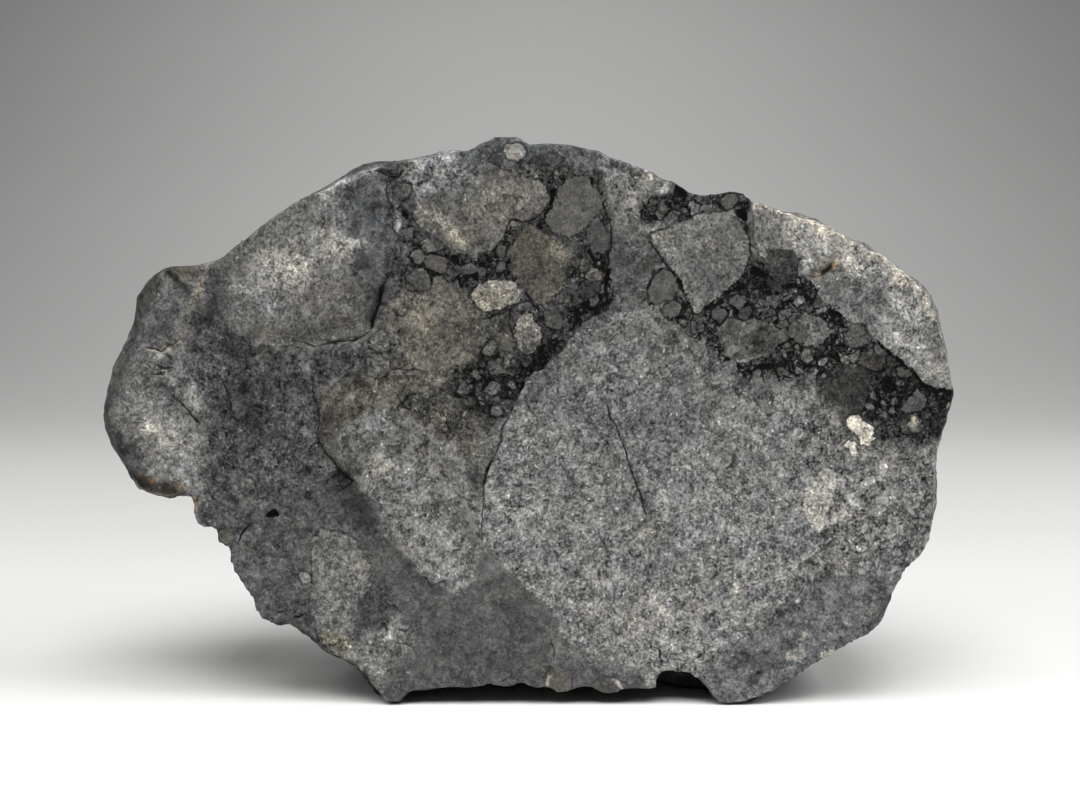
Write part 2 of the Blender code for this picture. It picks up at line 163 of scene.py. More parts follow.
ZONES = laid_out(Zone, (
    # left lobe
    (0.475, 0, 0.085, 0, 0.6,
     -30, 8, -30, 32, -20.6, 32, -20.9, 27, -21.3, 24, -20.6, 20, -20.2, 18, -19.9, 15,
     -20.4, 13, -19, 10),
    # dark matrix on the left
    (0.31, -0.25, 0.075, 0.1, 0.7,
     -21.4, 26, -18.4, 23.9, -15, 23.4, -9.5, 23.6, -9.2, 21, -12.6, 20, -13.4, 17.5,
     -11.6, 15, -11.2, 13, -10.2, 10.5, -8.8, 9.4, -6.3, 7.6, -9, 5.5, -10, 2, -14, 3,
     -20, 5, -21, 12, -20.2, 18, -21, 21),
    # lower left matrix, a little lighter
    (0.36, -0.2, 0.06, 0, 1.2,
     -20, 13.2, -16, 13.8, -12.6, 12.6, -10.4, 10.6, -9.4, 7, -9.6, 4, -15, 4, -20, 6),
    # brown speckled ground
    (0.39, 0.65, 0.08, 0.1, 0.7,
     -13.3, 20.6, -10, 22.4, -8.6, 22.6, -5, 22.2, -3, 21.6, -2.2, 18.5, -3.2, 16,
     -6, 16.5, -9, 18, -11, 17, -13.2, 18),
    # its darker, broken part
    (0.35, 0.4, 0.08, 0.4, 0.7,
     -8.2, 20.4, -5.6, 20.8, -3.6, 20.6, -3.2, 17.4, -4.6, 16.6, -7.4, 17, -8.6, 18.4),
    # lighter coarse ground
    (0.5, 0, 0.108, 0, 0.35,
     -12.2, 18.6, -11.3, 15.2, -10.4, 13.6, -9.6, 12.2, -8.6, 10.6, -7.4, 9, -6.2, 8,
     -4.6, 7.2, -3.2, 8.5, -1.5, 9, -2, 11, -2.9, 13.5, -3.2, 15.4, -4.6, 17.4,
     -7, 18.6, -9, 19.6),
    # warm grey fringe that the upper left block fades into
    (0.44, 0, 0.09, 0, 1,
     -23, 31.5, -20.6, 28.2, -20, 26.4, -19.2, 24.8, -17, 23.9, -12, 25, -10.4, 27,
     -10.9, 30, -10.8, 33, -10.6, 37, -17, 37),
    # crown ground, dark and broken
    (0.31, 0, 0.06, 0.45, 0.4,
     -9.4, 36, -8.9, 33, -9.2, 30, -8.9, 28, -9.8, 25, -9.4, 22.4, -5, 22, -3, 20,
     -1, 20, 0, 22, 2.2, 23.6, 3.4, 25.4, 5.4, 26, 5.6, 28, 5.5, 31.4, 5, 33, 4.4, 35,
     2, 37, -6, 37),
    # bluish strip with crumbs, left of the crown block
    (0.35, -0.3, 0.08, 0.35, 0.4,
     -9.4, 34.6, -8.9, 35.2, -7.5, 34.4, -7.2, 32.4, -7.3, 30.6, -7.6, 29.4, -8.6, 28.6,
     -8.9, 30.6),
    # smooth bluish edge of the upper left block
    (0.36, -0.45, 0.055, 0, 0.5,
     -11.6, 34.6, -9.5, 34.9, -9.1, 33.6, -8.9, 31.6, -8.5, 30, -8.7, 28.4, -9.8, 28.2,
     -11.2, 30),
    # the darkest parts of the crown ground
    (0.25, 0, 0.06, 0.75, 0.3,
     -6.9, 29.8, -5.9, 28.2, -5, 29.3, -2.8, 29, -1.6, 29.8, -0.9, 30.6, -1, 28,
     -1.8, 27.8, -3.4, 27.5, -4.4, 27.3, -6.6, 28.6),
    (0.22, 0, 0.06, 0.85, 0.3,
     1.2, 34.4, 2.1, 34.2, 2, 33, 1.9, 32.2, 1.3, 31.2, 0.7, 31.1, 1.4, 32.4),
    (0.22, 0, 0.06, 0.6, 0.6,
     -4.7, 22.2, -3, 23.2, -2.6, 24.4, -1.6, 23.4, -0.9, 22.8, 0.6, 22.9, 1.2, 24,
     2.2, 25.2, 3.2, 26, 3.8, 25.2, 2.6, 23.6, 1.4, 22.4, 0.4, 21.2, -0.4, 20,
     -1.2, 18.8, -2.2, 18.4, -3.4, 19.2, -4.8, 20.6),
    (0.31, 0, 0.05, 0.5, 0.3,
     2.4, 25.9, 3, 26.8, 3, 28, 3.4, 29.6, 4.4, 29, 4.7, 27.4, 4, 26.2),
    (0.2, 0, 0.05, 0.9, 0.25,
     4.5, 29, 5.3, 28.8, 5.6, 27.2, 5, 25.7, 3.4, 25.2, 2.8, 26, 4.2, 26.2, 4.7, 27.2),
    # a little dark ground under the beige block
    (0.32, 0.3, 0.06, 0.1, 0.2,
     -2.4, 25.3, -1, 25.7, -0.6, 25.4, -1, 24.4, -0.8, 23.2, -1.8, 23.3, -2.6, 24.2),
    # light mottled ground over the crown block
    (0.47, -0.1, 0.12, 0, 0.5,
     -7.6, 35.8, -7.4, 33.9, -6.9, 32.6, -5.4, 32.6, -3.8, 33.6, -4, 36.2),
    # bluish strip along the crown
    (0.4, -0.4, 0.07, 0.1, 0.4,
     -6.8, 34.2, -5, 34.6, -3.2, 34.5, -1.3, 34.7, 0.4, 34.9, 2, 35, 4.2, 34.4,
     5.6, 34.6, 5, 38, -6, 38),
    # brown ground in the middle
    (0.41, 0.65, 0.08, 0.1, 0.45,
     -9, 27.2, -7.9, 27.8, -6.4, 27.2, -5.4, 27.5, -4.2, 27, -3.6, 26.2, -2.8, 25.3,
     -3.2, 23.4, -3.4, 22.2, -5.2, 21.9, -8.2, 22.1, -9.2, 24),
    # grey bridge between the crown and the square block
    (0.4, -0.05, 0.07, 0.25, 0.4,
     5.3, 26.4, 5.4, 31.2, 6.8, 31.5, 7.6, 31, 8, 30, 8.8, 28.6, 7.6, 26.2, 6.4, 26),
    # bright shoulder
    (0.5, 0.05, 0.11, 0, 0.4,
     4.6, 35.4, 4.9, 33.8, 5.4, 32, 6.2, 31.2, 7.1, 31.3, 7.2, 32.7, 8.3, 33, 9.1, 33.3,
     9.4, 35, 7, 36.5, 5, 36.8),
    # dark rubble under the shoulder
    (0.31, -0.1, 0.06, 0.7, 0.35,
     7.1, 31.6, 8.8, 31.2, 13, 32, 13.8, 31.8, 14.1, 33.4, 12, 35, 9.4, 34.4, 8.9, 33.1,
     7.3, 32.8),
    # right rubble
    (0.33, 0, 0.06, 0.7, 0.4,
     9, 28.2, 9.9, 27.2, 10.4, 26.4, 12.2, 26.9, 13.2, 27.6, 14.1, 29.1, 17.2, 28.4,
     18, 27.6, 19.5, 26.8, 20.8, 24.9, 22.2, 23.9, 24, 22.3, 25.4, 21.2, 28, 20.9,
     28, 18.4, 25, 18.4, 23, 19, 21, 19.3, 19.5, 20, 18, 21.6, 16, 21.2, 14.6, 21,
     12.4, 21.8, 11.2, 23, 10, 24, 8.8, 24.8),
    # the darkest part of the right rubble
    (0.24, 0, 0.05, 0.85, 0.5,
     14, 28.4, 15.2, 27.7, 16.6, 27.3, 17.4, 26.5, 16.6, 26.2, 15, 26.5, 13.6, 26.7,
     12.4, 26.3, 11.2, 25, 10.9, 25.9, 13, 27.2),
    # its smooth dark part, lower down
    (0.26, 0.15, 0.045, 0.2, 0.7,
     18.8, 21.6, 20.2, 22.4, 21.8, 22.2, 22.4, 20.8, 21.6, 19.2, 20, 19, 19, 20.2),
    # dark strip under its grey blocks
    (0.25, 0, 0.05, 0.8, 0.4,
     13.4, 22.3, 15.8, 22.9, 17.6, 22.9, 19.6, 23.4, 19.8, 22.4, 17.4, 22, 16, 21.4,
     14.2, 21.7),
    # its dark right end
    (0.23, 0.1, 0.05, 0.85, 0.35,
     21.6, 22, 22.6, 23.6, 24.2, 22.2, 25.4, 21.2, 28, 21, 28, 19.6, 25.4, 19.6,
     22.4, 19, 21.4, 19.4),
    # grey ground under the right rubble
    (0.43, 0, 0.11, 0.1, 0.5,
     13.2, 20.8, 15.8, 20.6, 17.8, 21.4, 19.2, 19.9, 19.6, 18.6, 17.6, 16, 15, 18),
    # right side
    (0.475, 0.05, 0.125, 0.05, 0.7,
     17.4, 19, 19.6, 18.4, 22.4, 17.2, 28, 17, 28, 8, 20, 8.2, 17.5, 7.6, 17.8, 12),
    # dark strip inside the right edge
    (0.26, -0.2, 0.07, 0.5, 0.5,
     22, 19.2, 27.5, 19.4, 27, 17.4, 24, 16.9, 22.2, 17.2),
    # lower right, bluish
    (0.44, -0.25, 0.075, 0, 0.8,
     10.6, 2.2, 12.4, 3.4, 14.6, 4.8, 16.2, 6, 17.4, 8, 20, 8.8, 23.4, 8.2, 25, 4,
     15, -1, 11, 0),
    # soft right edge of the great coarse block
    (0.47, -0.05, 0.125, 0, 1,
     7, 26.2, 9, 24.7, 11, 23, 12.6, 21.6, 14.2, 20.6, 15.8, 19.6, 17.4, 19.6, 18.1, 16,
     18.4, 12, 17.9, 8, 16.6, 5.8, 14.8, 4.6, 12.6, 3.2, 11.6, 1.6, 9, 1, 10, 12,
     7, 22),
    # dark band between the dark matrix and the lighter coarse ground
    (0.34, -0.15, 0.05, 0, 0.5,
     -13.6, 15, -12.2, 14.6, -10.6, 13.2, -9.4, 11.4, -8, 9.5, -8.4, 7, -9.8, 8,
     -10.2, 10, -11.4, 11.6, -13.4, 12.8),
    # fine dark ground at the bottom
    (0.367, -0.15, 0.042, 0, 0.3,
     -9, 11, -8, 9.5, -6.2, 8, -4.8, 7.1, -3.5, 8.3, -2.9, 10.3, -2.3, 10.3, -1.4, 9.6,
     -0.6, 8.6, 0.2, 7.8, 1.5, 6.7, 2.2, 5, 2.3, 4, 3.5, 3, 6.8, 2.2, 8, 0.5, 8, -2,
     -9, -2, -9.3, 3.5, -8, 5.5, -8.6, 7.5, -10, 8.5, -10.2, 10.5),
    # light crumbs at the lower left
    (0.47, 0.05, 0.1, 0.1, 0.4,
     -12.4, 4.6, -11.2, 4.4, -9.4, 5.4, -8.2, 5.8, -7.4, 5.4, -7.4, 4.5, -8.6, 3.2,
     -9, 1.6, -10, 0.6, -12.6, 3.2),
))

BLOCKS = laid_out(Clast, (
    # warm grey block, upper left
    (0.45, 0.05, 0.085, 0.2,
     -22, 31, -20.2, 28, -19.6, 26, -18.8, 24.6, -17.4, 23.5, -15, 23.6, -14, 23.3,
     -12, 24, -11, 24.1, -10, 24.6, -9.8, 25.6, -10.2, 26.8, -11.2, 28.2, -11.8, 30,
     -12, 32, -11.6, 34, -12, 37, -16, 37),
    # crown block
    (0.41, 0.35, 0.08, 0.2,
     -7.1, 31.7, -6.9, 32.4, -6, 32.8, -5, 33.4, -3.6, 34.2, -1.3, 34.4, 0.3, 34.1,
     1.2, 33.4, 1.45, 32.7, 0.9, 31.8, 0, 31.4, -1, 31.5, -1.2, 30.8, -1.6, 30.1,
     -2.2, 29.5, -3.2, 29.2, -4.2, 29.2, -5, 29.6, -5.7, 30.3, -6.6, 31),
    # fine block right of the crown
    (0.38, 0.25, 0.035, 0.15,
     2.1, 33.7, 3.7, 34.1, 4.4, 33.2, 4.8, 32.3, 4.3, 31.6, 3.4, 30.9, 2.6, 30.3,
     1.6, 30.8, 1.2, 31.4, 1.7, 32.4),
    # kite
    (0.34, 0, 0.035, 0.6,
     3.5, 30.7, 4.4, 31.6, 5.2, 30.6, 5.15, 29.8, 4.95, 29.1, 4.1, 29.6),
    # central block
    (0.33, 0.75, 0.06, 0.2,
     -1.15, 29.4, -0.65, 30.4, -0.1, 31.1, 0.45, 31, 2, 30, 2.8, 29.3, 2.9, 28.9,
     2.4, 27.9, 2.15, 27, 1.5, 26.3, 0.9, 26, 0.25, 26.4, -0.25, 27.1, -0.9, 28,
     -1.15, 28.9),
    # beige block
    (0.53, 0.7, 0.13, 0.5,
     -3.6, 26.5, -3.3, 27.2, -2.6, 27.5, -1.6, 27.6, -0.9, 27.6, -0.5, 27.2, -0.3, 26.7,
     -0.6, 26.3, -1.2, 26.1, -1.8, 25.8, -2.4, 25.6, -2.9, 25.7, -3.2, 26),
    # oval block under it
    (0.49, 0.4, 0.13, 0.6,
     -0.8, 24.9, -0.5, 25.45, 0, 25.6, 0.5, 25.3, 0.8, 24.6, 0.8, 23.9, 0.5, 23.2,
     0, 22.95, -0.5, 23.3, -0.85, 24.1),
    # square block
    (0.445, 0, 0.085, 0.7,
     7.6, 30.4, 9.2, 31.1, 10.6, 31.7, 12.9, 32.1, 13.6, 31, 14, 29.3, 14, 29,
     13.6, 28.2, 12.9, 27.4, 12.2, 26.8, 11.4, 26.2, 10.7, 25.6, 10.3, 26, 9.9, 26.8,
     9.5, 27.7, 8.7, 28.7, 8.2, 29.5),
    # great coarse block
    (0.5, -0.05, 0.125, 0,
     0.1, 21.6, -0.5, 20.6, -0.9, 19.7, -1.6, 18, -1.8, 17, -2.2, 16.1, -2.7, 15.2,
     -2.85, 14.6, -2.8, 11, -2.1, 9.9, -1.1, 8.9, -0.1, 7.8, 1.3, 6.8, 1.8, 6, 2.2, 5,
     2.5, 4.2, 4.5, 3.4, 7.4, 2.4, 8, 1, 11, 1, 11.2, 2.6, 12.4, 3.8, 14.5, 5, 16, 6,
     17.2, 8, 17.7, 12, 17.4, 16, 16.8, 18.4, 15.5, 18.9, 14.1, 19.9, 12.6, 20.9,
     11.1, 22.2, 9.8, 23.6, 8.6, 24.6, 7.3, 25.9, 5.6, 25.5, 4.2, 24.9, 2.9, 24,
     1.8, 22.9, 0.9, 22.1),
    # bright block, upper right
    (0.53, 0.1, 0.12, 0.15,
     14.05, 34, 14.1, 32, 14.2, 30, 14.8, 29, 16, 28.2, 17.4, 27.8, 18.2, 27,
     18.8, 26.2, 19.6, 25.6, 20.6, 24.9, 21.9, 24, 22.5, 23.5, 23.7, 22.3, 25, 21.3,
     26.9, 20.7, 30, 20.6, 30, 34),
    # grey blocks in the right rubble
    (0.36, 0.1, 0.07, 0.3,
     11.9, 24.7, 12.7, 25.2, 14, 25.3, 15.6, 24.9, 15.9, 23.7, 15.2, 22.8, 13.6, 22.5,
     12.4, 23),
    (0.42, 0.05, 0.09, 0.4,
     16.7, 25, 17.6, 25.5, 18.8, 25.2, 19.1, 24.2, 18.4, 23.4, 17.2, 23.6),
    # pale oval block, lower left
    (0.45, 0.05, 0.09, 0.25,
     -13.9, 10.9, -13.2, 11.7, -12.2, 11.6, -11, 10.8, -10.2, 9.3, -10.2, 8, -10.9, 6.9,
     -11.2, 5.8, -11.6, 4.6, -13, 4, -13.8, 5.2, -14, 7),
    # long pale block, right
    (0.64, 0.45, 0.15, 0,
     17.7, 13.1, 17.75, 13.9, 18.1, 14.7, 18.7, 15.3, 19.4, 15.6, 19.85, 15.3,
     19.75, 14.5, 19.45, 13.7, 19.3, 12.8, 19.1, 12, 18.7, 11.5, 18.2, 11.9),
    # cream fragments, right
    (0.86, 0.8, 0.16, 0.3,
     20.2, 18.6, 20.5, 19.1, 21.2, 19, 21.9, 18.5, 22.1, 17.6, 21.8, 16.9, 21.4, 17.2,
     20.9, 17.9),
    (0.86, 0.7, 0.14, 0.3,
     20.1, 17.1, 20.5, 17.5, 21, 17.3, 21.2, 16.6, 20.9, 16.5),
))

CHIPS = laid_out(Clast, (
    # along the crown
    oval(0.55, 0.2, 0.08, 0.5, -0.75, 35.6, 0.65, 0.6),
    oval(0.34, 0.1, 0.06, 0.5, 1.6, 35.2, 0.5, 0.42),
    oval(0.3, 0.1, 0.06, 0.5, 0.6, 34.9, 0.4, 0.32, 30),
    oval(0.45, 0.1, 0.06, 0.3, 0.4, 34.6, 0.16, 0.32),
    oval(0.3, 0.1, 0.05, 0.6, -1.9, 35.1, 0.4, 0.34),
    pool(0.07, 1.5, 33.4, 1.8, 33.3, 1.75, 32.7, 1.45, 32.2, 1.1, 31.5, 0.9, 31.4,
        1.2, 32, 1.5, 32.6),
    # in the dark broken ground left of the central block
    oval(0.36, 0.1, 0.04, 0.8, -3.6, 28.4, 0.5, 0.42),
    oval(0.33, 0, 0.04, 0.8, -2.85, 28.15, 0.35, 0.3),
    oval(0.34, 0.1, 0.04, 0.8, -1.7, 28.45, 0.4, 0.36),
    oval(0.3, 0, 0.04, 0.8, -1.6, 29.5, 0.36, 0.42),
    oval(0.3, 0, 0.04, 0.8, -4.35, 28.35, 0.3, 0.3),
    oval(0.41, 0.2, 0.04, 0.9, -6.9, 29.1, 0.46, 0.42),
    oval(0.36, 0.4, 0.04, 0.9, -5.7, 28.7, 0.72, 0.62),
    (0.35, 0, 0.05, 0.7, -7.6, 28.6, -6.6, 28.4, -6.1, 27.9, -6.2, 27.1, -7, 27,
     -7.7, 27.8),
    oval(0.35, 0, 0.05, 0.7, -7.7, 33.2, 0.62, 0.5),
    oval(0.38, -0.1, 0.05, 0.7, -7.5, 30.6, 0.5, 0.35, 20),
    oval(0.4, 0.1, 0.06, 0.7, -2.4, 23.4, 0.34, 0.5),
    oval(0.36, 0, 0.05, 0.7, -2.2, 20.8, 0.5, 0.44),
    oval(0.38, 0, 0.06, 0.6, -2, 19.4, 0.42, 0.4),
    oval(0.33, 0.1, 0.05, 0.8, -3.3, 21.6, 0.36, 0.26, -30),
    oval(0.34, 0.2, 0.05, 0.6, 1.6, 25.2, 0.5, 0.7, 20),
    # black melt pools, with two chips between them
    oval(0.25, 0, 0.04, 0.7, 3.9, 26.9, 0.65, 0.5, 15),
    pool(0.07, 3.1, 25.9, 3.7, 26.2, 4.4, 26, 4.2, 25.7),
    pool(0.07, 4.8, 27.5, 4.95, 28.4, 5.2, 28.3, 5.15, 27.4),
    pool(0.08, -2.5, 22.9, -1.9, 23.1, -1.6, 22.8, -2.2, 22.6),
    pool(0.08, 0.9, 23.7, 1.2, 23.5, 0.9, 22.9, 0.7, 23),
    pool(0.08, 3.2, 30.1, 3.6, 29.9, 4.2, 29.3, 4.7, 28.9, 4.3, 28.7, 3.8, 29.3),
    pool(0.08, -7.95, 32.3, -7.6, 31.9, -7.3, 31.3, -7.5, 31.2, -7.75, 31.6),
    pool(0.08, -5, 28.9, -4.4, 29.1, -3.9, 28.8, -4.6, 28.6),
    oval(0.37, -0.1, 0.06, 0.5, -8.6, 27.1, 0.42, 1.1, -28),
    pool(0.05, 12.9, 32, 13.7, 32.1, 13.75, 31.2, 13.4, 31.4),
    pool(0.06, 13.9, 28, 14.25, 28.6, 14.6, 28.3, 15.3, 27.9, 15, 27.7, 14.4, 27.8),
    pool(0.06, 12.9, 27.1, 13.5, 27.5, 14, 27.3, 13.5, 27),
    pool(0.06, 14.6, 27.5, 15.2, 27.4, 15.6, 27.1, 14.9, 27.1),
    pool(0.06, 16.1, 27.5, 16.8, 27.4, 17, 27, 16.3, 27.1),
    pool(0.07, 11.5, 26, 12.4, 26.6, 12.5, 26.3, 11.8, 25.8),
    pool(0.06, 9.1, 27.8, 9.5, 27.9, 9.8, 27.1, 9.5, 27.1),
    pool(0.07, 9.2, 33.6, 10, 33.4, 10.2, 32.9, 9.2, 32.7),
    pool(0.08, 14.1, 22.2, 15.7, 22.5, 15.8, 22, 14.8, 21.9),
    oval(0.08, 0, 0.02, 0, 19.4, 25.5, 0.4, 0.3),
    (0.09, 0.2, 0.02, 0, 22.4, 21.5, 22.8, 21.6, 22.9, 20.9, 22.6, 20.5),
    pool(0.06, 22.1, 24, 22.6, 23.5, 24, 22.3, 25.1, 21.3, 26.6, 20.7, 26.8, 20.3,
        25.4, 20.7, 24.4, 21.5, 23.2, 22.7, 22.4, 23.4),
    # between the bridge and the square block
    (0.37, 0.1, 0.04, 0.8, 7.6, 27, 8.1, 28, 8.7, 28.4, 9.2, 28, 9.6, 27.3, 9.1, 26.5,
     8.2, 26.2, 7.7, 26.3),
    (0.38, 0.1, 0.05, 0.8, 8.5, 25.9, 9.2, 26.4, 9.7, 26.2, 9.6, 25.5, 9, 25.2,
     8.7, 25.4),
    oval(0.33, 0.5, 0.05, 0.2, 7.5, 28.7, 0.6, 0.55),
    oval(0.34, 0.1, 0.04, 0.6, 12.6, 32.6, 0.55, 0.5),
    # in the right rubble
    oval(0.27, 0.1, 0.06, 0.2, 16, 28.6, 1.4, 0.95, -10),
    oval(0.27, 0.1, 0.04, 0.6, 15.6, 27.3, 0.5, 0.3, -10),
    oval(0.36, 0.1, 0.05, 0.8, 13.2, 26.3, 0.5, 0.42, 25),
    oval(0.34, 0.1, 0.05, 0.8, 12.1, 25.4, 0.55, 0.5),
    oval(0.3, 0.2, 0.04, 0.8, 13.7, 25.6, 0.5, 0.42, -20),
    oval(0.27, 0.2, 0.06, 0.1, 14.9, 23.9, 0.85, 0.85),
    oval(0.5, 0.1, 0.05, 0, 13, 23.3, 0.5, 0.32, 30),
    (0.58, 0, 0.05, 0, 13.2, 22.6, 14.2, 22.85, 15.2, 22.9, 14.2, 22.7, 13.3, 22.45),
    (0.56, 0, 0.05, 0, 17.4, 25.1, 18.1, 24.9, 18.7, 24.4, 18.2, 24.7, 17.5, 24.9),
    (0.5, 0, 0.05, 0, 17.5, 24.5, 18.1, 24.3, 18.6, 23.9, 18.1, 24.1, 17.6, 24.3),
    oval(0.36, 0.3, 0.08, 0.4, 20.9, 24.1, 0.85, 0.75, 30),
    oval(0.3, 0.6, 0.06, 0.5, 21.8, 22.5, 0.8, 0.6),
    oval(0.34, 0.1, 0.06, 0.5, 17, 24.4, 0.6, 0.7),
    oval(0.33, 0.1, 0.04, 0.7, 23.9, 21.9, 0.5, 0.35, -30),
    (0.37, 0.1, 0.05, 0.8, 23.7, 19.4, 24.7, 20.9, 25.5, 20.1, 25, 19.4, 24.3, 19.2),
    # pale chips on the right
    (0.66, 0.1, 0.14, 0.1, 22.45, 15.4, 22.6, 16.2, 22.9, 16.5, 23.15, 16, 22.95, 15.3),
    (0.64, 0.15, 0.14, 0, 21.3, 14.6, 21.7, 15.05, 22.4, 15.3, 22.9, 15.3, 22.5, 14.85,
     21.9, 14.5),
    oval(0.58, 0.3, 0.1, 0.2, 22.3, 14.3, 0.35, 0.22),
    oval(0.6, 0.3, 0.1, 0.2, 22.6, 12.9, 0.45, 0.3, 20),
    oval(0.52, 0, 0.12, 0.1, 18.2, 10.4, 0.45, 0.65, -20),
    oval(0.66, 0.2, 0.1, 0, 18.05, 9.85, 0.28, 0.2),
    oval(0.5, 0.1, 0.07, 0.2, 19.7, 10, 0.6, 0.5),
    oval(0.54, 0, 0.15, 0.3, 21.6, 9.2, 0.6, 0.5),
    oval(0.6, 0, 0.15, 0.4, 22.4, 10.5, 0.2, 0.5, -10),
    oval(0.52, 0, 0.13, 0.6, 21.5, 10.5, 0.42, 0.36),
    oval(0.6, 0.4, 0.1, 0, 17.4, 3.4, 0.75, 0.42, 10),
    oval(0.58, 0.4, 0.1, 0, 17.9, 4.5, 0.2, 0.62, -25),
    oval(0.64, 0.6, 0.1, 0, 19.5, 3.5, 0.6, 0.26, 25),
    # on the great coarse block
    oval(0.66, 0.2, 0.05, 0, 5.6, 10.4, 0.5, 0.16),
    oval(0.6, 0.1, 0.05, 0, 0.75, 19.7, 0.24, 0.14, -50),
    oval(0.6, 0.1, 0.05, 0, 4.4, 23.2, 0.35, 0.12, -30),
    # left ground
    oval(0.45, 0.1, 0.05, 0.3, -12.6, 23.5, 0.42, 0.32),
    oval(0.37, 0.1, 0.07, 0.1, -16.7, 22.8, 0.52, 0.45),
    (0.42, 0.15, 0.09, 0.4, -9.9, 24.1, -9.2, 24.5, -8.7, 24, -8.6, 23.4, -9.3, 23.1,
     -9.9, 23.4),
    (0.41, 0.15, 0.09, 0.4, -10.2, 22.9, -9.4, 23, -8.7, 22.6, -8.8, 21.9, -9.4, 21.4,
     -10.1, 21.8),
    oval(0.56, 0, 0.08, 0.2, -14.4, 8.5, 0.42, 0.34, -30),
    oval(0.38, 0.1, 0.07, 0.1, -18, 14.6, 0.6, 0.4, 20),
    oval(0.4, 0.2, 0.07, 0.1, -16.9, 9.7, 0.4, 0.3),
    (0.58, 0.3, 0.04, 0, -4.3, 13.7, -4, 13.6, -3, 11.7, -3.4, 11.6),
    (0.44, 0.1, 0.06, 0, -4.7, 13.2, -4.3, 13.2, -3.3, 11.2, -3.2, 10.6, -4.2, 11.2),
    oval(0.38, 0.7, 0.05, 0.1, -19.4, 11.2, 0.5, 0.5),
    # open vug, painted near black as painted shade in its hole
    (0.03, 0, 0, 0, -16.85, 12.45, -16.6, 12.85, -16.35, 12.97, -16.05, 12.8,
     -15.98, 12.45),
    # bottom edge, and single bright specks
    oval(0.37, 0.5, 0.03, 0.3, 2.1, 1.7, 0.9, 0.9),
    oval(0.34, 0.3, 0.03, 0.3, 4.9, 1.25, 0.8, 0.7),
    oval(0.68, 0.9, 0.05, 0, 1.35, 1.8, 0.12, 0.4, -15),
    oval(0.68, 0.7, 0.05, 0, 5.9, 1.4, 0.16, 0.5, 35),
    oval(0.44, 0.1, 0.03, 0, -6.3, 2.6, 0.2, 0.45),
    oval(0.8, 0.1, 0.02, 0, -23.5, 16.9, 0.13, 0.1),
    oval(0.62, 0, 0.03, 0, -7.7, 2.2, 0.12, 0.1),
    oval(0.62, 0, 0.03, 0, -7.5, 2.8, 0.12, 0.1),
))

